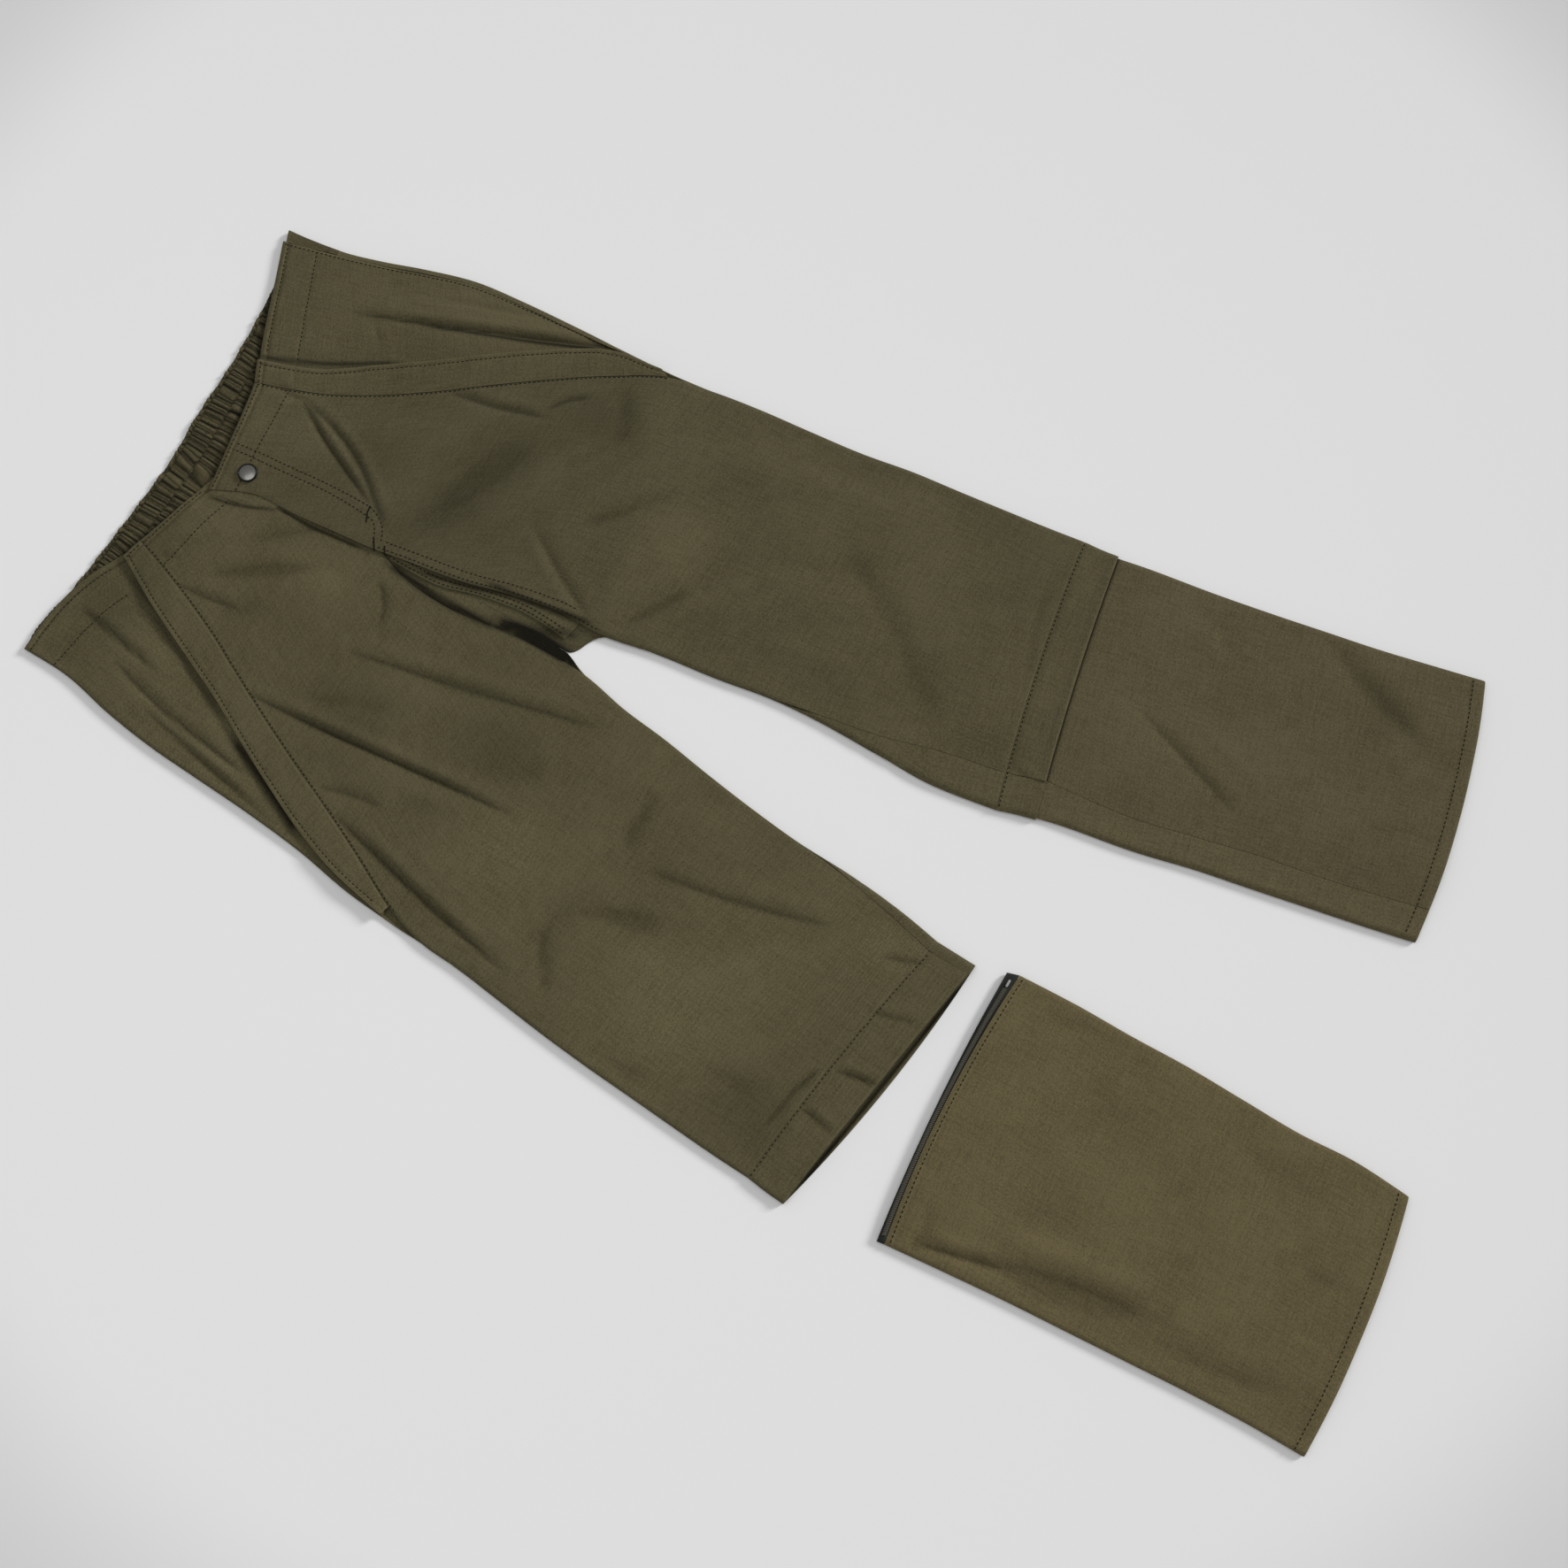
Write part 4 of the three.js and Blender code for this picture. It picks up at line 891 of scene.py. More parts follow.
garmentLook = {"lines": 900.0, "speckle": 3.4, "mottling": 0.4, "depth": 0.0005, "sheen": 0.02}
clothLooks = {
    "thighCloth": {**garmentLook, "colour": (0.1140, 0.0990, 0.0530), "shade": (0.0575, 0.0485, 0.0225)},
    "waistbandCloth": {**garmentLook, "colour": (0.104, 0.089, 0.0470), "shade": (0.032, 0.027, 0.0125),
                       "speckle": 2.8, "mottling": 0.5},
    "lowerCloth": {**garmentLook, "colour": (0.126, 0.1065, 0.0580), "shade": (0.0645, 0.0520, 0.0255),
                   "mottling": 0.35},
    "looseCloth": {**garmentLook, "colour": (0.152, 0.1235, 0.0610), "shade": (0.0800, 0.0645, 0.0320),
                   "mottling": 0.45},
    "zipTape": {"colour": (0.026, 0.028, 0.024), "shade": (0.009, 0.010, 0.009), "lines": 700.0,
                "speckle": 0.7, "mottling": 0.3, "depth": 0.00018, "sheen": 0.03},
}
cloths = {name: clothMaterial(name, look) for name, look in clothLooks.items()}


def hardMaterial(name, colour, roughness, metallic, scale, wear, depth, specular=0.5):
    # colour (1 - wear) to (1 + wear) by a fine noise on the object's own coordinates, which roughens it too
    made, tree, shader = material(name, roughness, metallic, specular=specular)
    source = tree.nodes.new("ShaderNodeTexCoord")
    grain = noiseNode(tree, source.outputs["Object"], scale, 3.0)
    dark, light = ((*[c * part for c in colour], 1) for part in (1 - wear, 1 + wear))
    feed(tree, shader.inputs["Base Color"], mixNode(tree, grain, dark, light))
    rough = mathNode(tree, "ADD", mathNode(tree, "MULTIPLY", grain, 0.25), roughness - 0.12)
    feed(tree, shader.inputs["Roughness"], rough)
    bumpOn(tree, shader, grain, depth)
    return made


threadLook = {"roughness": 0.8, "metallic": 0.0, "scale": 2500.0, "wear": 0.25, "depth": 0.00004,
              "specular": 0.07}
plastic, metal = {"metallic": 0.0, "depth": 0.00003}, {"metallic": 1.0, "scale": 1400.0, "depth": 0.00002}
hardLooks = {
    "sewingThread": {**threadLook, "colour": (0.013, 0.011, 0.006)},
    "looseThread": {**threadLook, "colour": (0.016, 0.013, 0.006)},
    "nylonCoil": {**plastic, "colour": (0.088, 0.080, 0.062), "roughness": 0.6, "scale": 900.0, "wear": 0.15},
    "mouldedPin": {**plastic, "colour": (0.27, 0.27, 0.25), "roughness": 0.5, "scale": 600.0, "wear": 0.1},
    "wornGunmetal": {**metal, "colour": (0.21, 0.204, 0.19), "roughness": 0.30, "wear": 0.2},
    # the rim's near-black colour is painted shade round the dome
    "darkRim": {**metal, "colour": (0.022, 0.022, 0.021), "roughness": 0.4, "wear": 0.3},
}
hardOnes = {name: hardMaterial(name, **look) for name, look in hardLooks.items()}
print("materials made:", len(bpy.data.materials))

# Fronts. The complete leg's fly edge is lifted over the short leg's front, which sinks under it.
fly = {"lift": 1.8, "overX": (24, 40), "overY": (335, 40), "underX": (-56, 22), "underY": (368, 24)}
waistHem = {"facing": 6.0, "second": 32.0, "height": 0.6, "groove": 0.55, "shade": 0.35}


def flyOver(x, y, distance, fromIn, v):
    # rises towards the fly edge, above the fork
    across = 1 - smooth((x - fly["overX"][0]) / fly["overX"][1])
    return fly["lift"] * across * smooth((y - fly["overY"][0]) / fly["overY"][1])


def flyUnder(x, y, distance, fromIn, v):
    # sinks under the fly edge, above the fork
    across = smooth((x - fly["underX"][0]) / fly["underX"][1])
    return -fly["lift"] * across * smooth((y - fly["underY"][0]) / fly["underY"][1])


def flyStill(x, y, fromIn):
    # the faced fly edge takes no creases: 0 at the edge, 1 beyond its sewing, above the fork
    return 1 - (1 - smooth((fromIn - 14) / 12)) * smooth((y - 372) / 16)


def sewnTop(fromTop):
    # the line of shade along the facing's stitching
    return waistHem["shade"] * bell(fromTop - waistHem["facing"], 0.8)


def waistEdge(fromTop, fromFoot):
    # the faced edge stands up between the edge and its stitching, which pulls the cloth in
    band = waistHem["height"] * np.sin(math.pi * np.clip(fromTop / waistHem["facing"], 0, 1)) ** 0.6
    grooves = bell(fromTop - waistHem["facing"], 1.3) + 0.7 * bell(fromTop - waistHem["second"], 1.4)
    return band - waistHem["groove"] * grooves


waistRows = [0, 0.5, 1.2, 2.2, 3.4, 4.4, 5.3, 6, 6.7, 7.6, 9, 11]
frontArgs = {"top": waistRows, "hem": waistEdge, "shaded": sewnTop, "sides": [0, 0.5, 1.2, 2.2, 3.6, 5.2]}
seamGap = 0.0004
frontLeft = frontPanel("frontLeft", leftFront, 0, 1 - seamGap, lift=flyOver, still=flyStill, **frontArgs)
frontRight = frontPanel("frontRight", rightFront, 0, 1 - seamGap, lift=flyUnder, **frontArgs)
declare(frontLeft, ["front_left"], cloths["thighCloth"], (0.27, 0.72))
declare(frontRight, ["front_right"], cloths["thighCloth"], (0.27, 0.74))
print("fronts made")

# Pockets: the band between the mouth and the front, and the side panel that runs on under it.
pocket = {
    "seamLift": 0.7, "mouthLift": 2.7,  # of the band at its seam and at the open mouth
    "sunk": 1.7, "tuck": 0.4, "from": 10.0, "over": 22.0,  # of the panel that runs on under it
    "stitch": 4.0, "groove": 0.5, "ripple": 0.3,
    "bow": 8.0, "bowEnd": 0.2,
}


def pocketPieces(side, front, mouth, hip, bow, flats):
    # the band between the open mouth and the front, and the panel under it; gives the band's sections
    count = len(mouth["x"]) - 1

    def besideMouth(rows, v):
        # the sections that lie beside the mouth's part v
        return sectionsAt(rows, v * count / (len(rows["outX"]) - 1))

    def band(v):
        s = besideMouth(front, v)
        opening = curveAt(mouth, v)
        given = {"outX": opening["x"][:, None], "outY": opening["y"][:, None],
                 "inX": s["outX"], "inY": s["outY"]}
        plainOnes = sectionsAt({"outX": np.zeros(2)}, v)
        return {**plainOnes, **given, "outDrop": 0 * s["outX"], "inDrop": 0 * s["outX"]}

    def bandLift(x, y, distance, fromIn, v):
        # rises from the seam to the open mouth, ripples along its length and is pulled in along its sewing
        part = distance / (distance + fromIn)
        wave = pocket["ripple"] * (np.sin(v * 23) + 0.8 * np.sin(v * 71 + 4 * part)) * (1.2 - part)
        pulled = pocket["groove"] * bell(distance - pocket["stitch"], 1.2)
        return mix(pocket["mouthLift"], pocket["seamLift"], part) + wave - pulled

    def panel(v):
        s = besideMouth(hip, v)
        seamX, seamY = placeOn(s, s["outSeam"])
        edge = band(v)
        given = {
            "outX": seamX, "outY": seamY, "outDrop": np.where(s["outSeam"] > 0, 0.0, 1.0),
            "inX": mix(edge["outX"], edge["inX"], pocket["tuck"]),
            "inY": mix(edge["outY"], edge["inY"], pocket["tuck"]), "inDrop": 0 * seamX,
            "bow": bow * (1 - smooth(v[:, None] / pocket["bowEnd"])),
        }
        return {**edge, **given}

    def sink(x, y, distance, fromIn, v):
        narrow = smooth((v - 0.7) / 0.25)
        return -pocket["sunk"] * np.maximum(narrow, 1 - smooth((fromIn - pocket["from"]) / pocket["over"]))

    span = {"outX": mouth["x"], "outY": mouth["y"], "inX": mouth["x"] + 1, "inY": mouth["y"]}
    sideName, bandName = "pocketSide" + side, "pocketBand" + side
    made = frontPanel(sideName, span, sections=panel, lift=sink, calm=10.0, hollows=mouthHollows,
                      top=waistRows, hem=waistEdge, shaded=sewnTop)
    declare(made, ["pocket_side_" + side.lower()], cloths["thighCloth"], flats[0])
    made = frontPanel(bandName, span, sections=band, lift=bandLift, spacing=1.6, top=waistRows, hem=waistEdge,
                      shaded=sewnTop, sides=[0, 0.5, 1.2, 2.2, 3.1, 4.0, 4.9])
    declare(made, ["pocket_band_" + side.lower()], cloths["thighCloth"], flats[1])
    return band


bandLeft = pocketPieces("Left", leftFront, leftMouth, join(leftHip, rowsFrom(leftFront, sharedRows)), 0.0,
                        [(0.15, 0.36), (0.03, 0.36)])
bandRight = pocketPieces("Right", rightFront, rightMouth, join(rightHip, rowsFrom(rightFront, sharedRows)),
                         pocket["bow"], [(0.14, 0.40), (0.03, 0.40)])
print("pockets made")

# Backs, from the waistband's foot to the knee.
for side, hip, leg, flat in (
        ("Left", leftHip, leftFront, (0.33, 0.74)),
        ("Right", rightHip, rightFront, (0.31, 0.75))):
    rows = join(hip, rowsFrom(leg, sharedRows))
    made = backPanel("back" + side, rows, 1 / (len(rows["outX"]) - 1), 1 - seamGap)
    declare(made, ["back_" + side.lower()], cloths["thighCloth"], flat)
print("backs made")

# Elastic waistband: plain underneath, gathered on top by the elastic.
elastic = {
    "gathers": 64, "height": 3.3, "foot": 533.5, "columns": 700, "rows": 34, "foldSteps": 13,
    "stitched": (0.05, 0.50, 0.93),  # the sewn rows, as parts of its height
    "under": 0.12,  # part of the gathers that the inner face follows
    "trough": 0.95, "pressed": 0.45, "darkest": 0.97,  # shade in the troughs and where the fronts press on it
    # the gathers' tops lighter as wear and their troughs darker as painted shade, down to that value
    "worn": 4.0, "wornBelow": 2.4,
    "mapWide": 1.5,
}
waistLine = table(["x", "y"], [
    [-218.5, 580], [-113, 557], [-95, 554], [-6, 532], [-30, 531], [68, 553], [86, 562], [200, 609],
])


def waistband():
    # both faces from the waist edge down: round one side, over the gathers on top, and round the other
    v = np.linspace(0, 1, elastic["rows"])
    left = sectionsAt(leftHip, (1 - v) / (len(leftHip["outX"]) - 1))
    right = sectionsAt(rightHip, (1 - v) / (len(rightHip["outX"]) - 1))
    radius = cloth["foldRadius"]
    half = cloth["legTop"] / 2
    edge = curveAt(bandEdge, np.linspace(0, 1, 120))
    order = np.argsort(edge["x"])
    centre = leftHip["inX"][1]

    def heights(x, part):
        # y at part of the way from the band's foot to its upper edge
        side = x > centre
        sideX = np.where(side, leftHip["outX"][1], rightHip["outX"][1])
        sideY = np.where(side, leftHip["outY"][1], rightHip["outY"][1])
        foot = mix(elastic["foot"], sideY, (x - centre) / (sideX - centre)) + cloth["gap"]
        top = np.interp(x, edge["x"][order], edge["y"][order])
        return mix(foot, top, part)

    def gathersAt(across, up):
        # ridges like |sin| with sharp troughs that get painted shade; their phase drifts upwards, and the
        # sewing flattens them
        section = sum(smooth((up - row) / 0.06 + 0.5) for row in elastic["stitched"])
        drift = 0.4 * np.sin(across * 41) + 0.5 * np.sin(across * 17.3)
        drift = drift + 0.3 * np.sin(2.4 * section + across * 83) + up * (0.4 + 0.5 * np.sin(across * 27))
        phase = math.pi * (elastic["gathers"] * across + drift)
        ridges = np.abs(np.sin(phase)) ** 0.6
        finer = phase * 1.62 + 1.2 * up + 1
        fine = 0.5 * np.abs(np.sin(finer)) ** 0.6
        strength = 0.9 + 0.1 * np.sin(across * 211 + 2 * section)
        between = (0.55 + 0.3 * np.sin(across * 53)) * bell(np.sin(finer), 0.38)
        trough = np.maximum(strength * bell(np.sin(phase), 0.4), between)
        uneven = 0.72 + 0.28 * np.sin(across * 97 + 1.7)
        held = 1 - 0.45 * sum(bell(up - row, 0.045) for row in elastic["stitched"])
        return elastic["height"] * (0.6 * ridges + fine) * uneven * held, trough

    def freeAt(x, y):
        # the gathers stand fully only above the fronts' waist edge, which presses them down
        order = np.argsort(waistLine["x"])
        edge = np.interp(x, waistLine["x"][order], waistLine["y"][order])
        return smooth((y - edge - 1) / 7)

    steps = np.linspace(0, 1, elastic["foldSteps"])[None, :]
    seam = left["outSeam"] - 2 * cloth["gap"]
    across, up = np.linspace(0, 1, elastic["columns"])[None, 1:-1], v[:, None]
    topX = mix(left["outX"] - radius, right["outX"] + radius, across)
    gathered, trough = gathersAt(across, up)
    free = freeAt(topX, heights(topX, up))
    gathered = gathered * smooth(across / 0.01) * smooth((1 - across) / 0.01) * (0.5 + 0.5 * free)
    faces = []
    for face in (0, 1):
        inset = face * cloth["layer"]
        ends = []
        for line, towards, length in ((left, 1, seam), (right, -1, 0 * seam)):
            reach, out, height = folding(wayRound(length, steps), radius, half, inset)
            inwards = out + inset * np.maximum(0, 1 - out / radius)
            ends.append((line["outX"] - towards * inwards, half + height))
        (leftX, leftZ), (rightX, rightZ) = ends
        topZ = face * (cloth["layer"] + gathered) + (1 - face) * elastic["under"] * gathered
        x = np.concatenate([leftX, topX, rightX[:, ::-1]], axis=1)
        z = np.concatenate([leftZ, topZ, rightZ[:, ::-1]], axis=1)
        faces.append(gridOf(x, heights(x, up), z))
    ends = ((0, 0), (elastic["foldSteps"], elastic["foldSteps"]))
    # painted shade in the troughs and where the fronts press on it; the top edge lighter as wear and painted
    # highlight
    ridge = np.pad(gathered / elastic["height"] * elastic["worn"] - elastic["wornBelow"], ends)
    dark = elastic["trough"] * trough + elastic["pressed"] * (1 - free)
    marks = {"deep": np.pad(np.clip(dark, 0, elastic["darkest"]), ends),
             "ridge": np.clip(ridge, -elastic["wornBelow"], 1), "edge": bell((1 - up) * 40, 2.0) + 0 * ridge}
    acrossUp = gridOf(-faces[0][..., 0] * elastic["mapWide"], faces[0][..., 1])
    surfaces["waistbandInside"] = faces[1]
    return addShell("backWaistband", faces, acrossUp, marks)


made = waistband()
declare(made, ["back_waistband"], cloths["waistbandCloth"], (0.66, 0.056))
print("waistband made")

# Fly shield and the seam band in the fork.
made = frontPanel("flyShield", flyShield, crown=0, folds=0.2, drops=0, spacing=3)
declare(made, ["fly_shield"], cloths["thighCloth"], (0.06, 0.066))


def forkPucker(x, y, distance, fromIn, v):
    # small puckers across the double seam
    return 0.3 * np.sin(v * 61 + 2 * np.sin(v * 17)) * bell(distance - 5, 5)


made = frontPanel("forkBand", forkBand, crown=0, folds=0, drops=0, spacing=2, lift=forkPucker)
declare(made, ["fork_band"], cloths["thighCloth"], (0.026, 0.172))


# Knee flaps, the zips under them, the lower leg and the loose leg.
def foldedHem(width, height, groove=0.3):
    # the turned-up edge stands a little above the leg, and its stitching pulls it in
    def hem(fromTop, fromFoot):
        return height * smooth((width + 3 - fromFoot) / 3) - groove * bell(fromFoot - width, 1.3)
    return hem


flap = {
    "sewn": 1.6, "sunk": 0.35,  # its seam along the upper edge
    "rise": 0.4, "over": 8.0, "free": 0.9, "freeOver": 9.0,  # upwards from there, and at its free edge
    "shade": 0.95, "shadeAt": 15.9, "shadeWidth": 1.7,  # on the leg under it
}
kneeZip = {"from": 0.05, "to": 0.44, "base": 1.5, "top": 4.2}
zipEdge = {"raised": 0.3, "wide": 7.0, "over": 3.0, "sewn": 6.0, "groove": 0.45}
legHem = foldedHem(12.0, 0.35)


def flapEdge(fromTop, fromFoot):
    # sewn down at its upper edge, and standing up towards its free one
    sewn = -flap["sunk"] * bell(fromTop - flap["sewn"], 1.0) + flap["rise"] * smooth(fromTop / flap["over"])
    return sewn + flap["free"] * smooth((flap["freeOver"] - fromFoot) / flap["freeOver"])


hemRows = [0, 0.5, 1.2, 2.2, 3.6, 6, 9, 11, 12, 13, 15]
flapRows = [0, 0.5, 1.2, 1.8, 2.6, 4]


def nested(rows, start, end):
    # what lies inside a flap: the flap's own sections, drawn in by its wall
    inset = cloth["layer"] + 2 * cloth["gap"]
    v = np.linspace(start, end, 3)
    s = sectionsAt(rows, v)
    straight = {**s, "bow": 0 * s["bow"]}
    outX, outY = placeOn(straight, inset + 0 * s["outX"])
    inX, inY = placeOn(straight, widthOf(s) - inset)
    drawn = {**s, "outX": outX, "outY": outY, "inX": inX, "inY": inY}
    drawn["base"], drawn["top"] = 0 * outX + kneeZip["base"], 0 * outX + kneeZip["top"]
    return {name: column[:, 0] for name, column in drawn.items()}


for side, rows, backRows in (("Left", leftFlap, leftFlap), ("Right", rightFlap, rightFlapBack)):
    low = side.lower()
    thigh = cloths["thighCloth"]
    made = frontPanel("kneeFlap" + side, rows, spacing=2.6, top=flapRows, foot=flapRows, hem=flapEdge)
    declare(made, ["knee_flap_" + low], thigh, (0.245, 0.042))
    made = backPanel("kneeFlapBack" + side, backRows, spacing=2)
    declare(made, ["knee_flap_" + low + "_back"], thigh, (0.29, 0.048))
    inside = nested(rows, kneeZip["from"], kneeZip["to"])
    made = frontPanel("kneeZip" + side, inside, crown=0, folds=0, spacing=3)
    declare(made, ["knee_zip_" + low], cloths["zipTape"], (0.24, 0.018))
    made = backPanel("kneeZipBack" + side, inside, spacing=4)
    declare(made, ["knee_zip_" + low + "_back"], cloths["zipTape"], (0.28, 0.018))


def underFlap(fromTop):
    # the line of shade along the flap's free edge
    return flap["shade"] * bell(fromTop - flap["shadeAt"], flap["shadeWidth"])


made = frontPanel("lowerFront", lowerLeg, top=closeTo + [13, 14.5, 15.5, 16.5, 18], foot=hemRows,
                  hem=legHem, shaded=underFlap)
declare(made, ["lower_front"], cloths["lowerCloth"], (0.21, 0.34))
made = backPanel("lowerBack", lowerLeg)
declare(made, ["lower_back"], cloths["lowerCloth"], (0.29, 0.345))


def looseEdges(fromTop, fromFoot):
    # the hem at the foot, and the doubled edge along the zip with its stitching
    raised = zipEdge["raised"] * smooth((zipEdge["wide"] - fromTop) / zipEdge["over"])
    return legHem(fromTop, fromFoot) + raised - zipEdge["groove"] * bell(fromTop - zipEdge["sewn"], 1.2)


made = frontPanel("looseFront", looseLeg, 0.001, 1, top=[0, 0.5, 1.2, 2.2, 3.6, 5, 6, 7, 9], foot=hemRows,
                  hem=looseEdges)
declare(made, ["loose_front"], cloths["looseCloth"], (0.24, 0.36))
made = backPanel("looseBack", looseLeg, 0.001, 1)
declare(made, ["loose_back"], cloths["looseCloth"], (0.25, 0.36))
made = frontPanel("looseTape", looseTape, crown=0.3, folds=0.4, spacing=1.6, sides=[0, 0.5, 1.2, 2.2, 4])
declare(made, ["loose_zip_tape"], cloths["zipTape"], (0.235, 0.012))
made = backPanel("looseTapeBack", looseTape, spacing=2.5)
declare(made, ["loose_zip_tape_back"], cloths["zipTape"], (0.25, 0.012))
print("legs and flaps made")


# Sewing
def alongPath(path, pitch):
    # points and directions along a line of points, a pitch apart
    step = np.diff(path, axis=0)
    walked = np.concatenate([[0], np.cumsum(np.hypot(step[:, 0], step[:, 1]))])
    marks = np.arange(pitch / 2, walked[-1], pitch)
    at = np.stack([np.interp(marks, walked, path[:, k]) for k in (0, 1)], axis=1)
    ahead = np.stack([np.interp(marks + 0.2, walked, path[:, k]) for k in (0, 1)], axis=1)
    behind = np.stack([np.interp(marks - 0.2, walked, path[:, k]) for k in (0, 1)], axis=1)
    way = ahead - behind
    return at, way / np.maximum(np.hypot(way[:, :1], way[:, 1:]), 1e-6)


upperSide = 1.2  # height above which a surface's points belong to its upper side


def onSurface(names, at):
    # height and normal from the nearest point of the named surfaces, along its tangent plane
    points, normals = [], []
    for name in names:
        sheet = surfaces[name]
        down, across = np.gradient(sheet, axis=0), np.gradient(sheet, axis=1)
        normal = np.cross(down, across)
        normal *= np.where(normal[..., 2:] < 0, -1, 1)
        points.append(sheet.reshape(-1, 3))
        normals.append(normal.reshape(-1, 3))
    points, normals = np.concatenate(points), np.concatenate(normals)
    low, high = at.min(axis=0) - 8, at.max(axis=0) + 8
    near = np.all((points[:, :2] > low) & (points[:, :2] < high), axis=1) & (points[:, 2] > upperSide)
    points, normals = points[near], normals[near]
    away = (at[:, None, 0] - points[None, :, 0]) ** 2 + (at[:, None, 1] - points[None, :, 1]) ** 2
    best = np.argmin(away, axis=1)
    normal = normals[best] / np.linalg.norm(normals[best], axis=1, keepdims=True)
    off = at - points[best, :2]
    slope = (normal[:, 0] * off[:, 0] + normal[:, 1] * off[:, 1]) / np.maximum(normal[:, 2], 0.3)
    return np.column_stack([at, points[best, 2] - np.clip(slope, -1.5, 1.5)]), normal


def closedTube(rings, sides):
    # quads between neighbouring rings of points, and a fan of quads over each end
    index = np.arange(rings * sides).reshape(rings, sides)
    nextOne = np.roll(index, -1, axis=1)
    body = np.stack([index[:-1], index[1:], nextOne[1:], nextOne[:-1]], axis=-1).reshape(-1, 4)
    fans = np.array([[0, k, k + 1, k + 2] for k in range(1, sides - 2, 2)])
    return np.concatenate([body, index[0][fans], index[-1][fans[:, ::-1]]])


stitch = {"pitch": 3.9, "length": 2.5, "radius": 0.43, "sides": 6, "sunk": 0.02, "unevenness": 0.12}


def stitchMesh(name, centres, ways, normals, length, radius, look):
    # a short thread at each centre: rings along it, narrow and sunk at both ends
    along = np.array([-0.5, -0.32, 0.32, 0.5]) * length
    size = np.array([0.45, 1.0, 1.0, 0.45]) * radius
    depth = np.array([-0.55, 0.15, 0.15, -0.55]) * radius
    turn = np.linspace(0, 2 * math.pi, stitch["sides"], endpoint=False)
    local = np.stack([
        np.repeat(along, stitch["sides"]),
        np.outer(size, np.cos(turn)).ravel(),
        (depth[:, None] + np.outer(size, np.sin(turn))).ravel(),
    ], axis=1)
    tangent = np.column_stack([ways, -(ways * normals[:, :2]).sum(axis=1) / np.maximum(normals[:, 2], 0.3)])
    tangent /= np.linalg.norm(tangent, axis=1, keepdims=True)
    across = np.cross(normals, tangent)
    frameOf = np.stack([tangent, across, normals], axis=1)
    vertices = centres[:, None, :] + np.einsum("vk,skj->svj", local, frameOf)
    one = closedTube(len(along), stitch["sides"])
    first = np.arange(len(centres)) * len(along) * stitch["sides"]
    faces = (one[None] + first[:, None, None]).reshape(-1, 4)
    made = makeObject(name, vertices.reshape(-1, 3), faces)
    made.data.materials.append(look)
    return made


def sew(name, rows, look=hardOnes["sewingThread"], pitch=stitch["pitch"], length=stitch["length"],
        radius=stitch["radius"], crosswise=False):
    # rows of (surface names, path); each stitch is turned and shifted a little
    centres, ways, normals = [], [], []
    for names, path in rows:
        at, way = alongPath(np.asarray(path, dtype=float), pitch)
        point, normal = onSurface(names, at)
        centres.append(point - stitch["sunk"] * normal)
        ways.append(np.column_stack([-way[:, 1], way[:, 0]]) if crosswise else way)
        normals.append(normal)
    centres, ways, normals = np.concatenate(centres), np.concatenate(ways), np.concatenate(normals)
    turn = seededNoise.normal(0, 0.05, len(ways))
    ways = ways + turn[:, None] * np.column_stack([-ways[:, 1], ways[:, 0]])
    centres[:, :2] += seededNoise.normal(0, stitch["unevenness"], (len(centres), 2)) * 0.5
    made = stitchMesh(name, centres, ways, normals, length, radius, look)
    return made


def across(rows, v, fromOut=1.5, fromIn=1.5, sections=None):
    # a line across a panel at one part of its length
    s = sections(np.array([v])) if sections else sectionsAt(rows, v)
    first, last = s["outSeam"][0, 0] + fromOut, (widthOf(s) - s["inSeam"])[0, 0] - fromIn
    distance = np.linspace(first, last, 40)
    x, y = placeOn(s, distance[None, :])
    return np.column_stack([x[0], y[0]])


def beside(rows, start, end, inset, side="out", sections=None):
    # a line along one edge of a panel, that far inside it
    v = np.linspace(start, end, 80)
    s = sections(v) if sections else sectionsAt(rows, v)
    distance = s["outSeam"] + inset if side == "out" else widthOf(s) - s["inSeam"] - inset
    x, y = placeOn(s, distance)
    return np.column_stack([x[:, 0], y[:, 0]])


def curved(points):
    # a smooth line through the points
    found = curveAt(table(["x", "y"], points), np.linspace(0, 1, 80))
    return np.column_stack([found["x"], found["y"]])


def partAlong(x, y, mm):
    # the part of a line's rows that lies mm from its start, by the length of its first step
    return mm / (np.hypot(x[1] - x[0], y[1] - y[0]) * (len(x) - 1))


def waistRow(name, rows, seam, fromIn=1.5):
    # a row of stitches across a front, as far from the waist edge as that seam
    return [name], across(rows, partAlong(rows["outX"], rows["outY"], waistHem[seam]), 1.5, fromIn)


def rowsBelow(sheet, distances):
    # a surface's rows at those distances from its top, measured at a third of its width
    step = np.linalg.norm(np.diff(sheet[:, sheet.shape[1] // 3], axis=0), axis=1)
    walked = np.concatenate([[0], np.cumsum(step)])
    return [sheet[np.argmin(np.abs(walked - distance)), 1:-8, :2] for distance in distances]


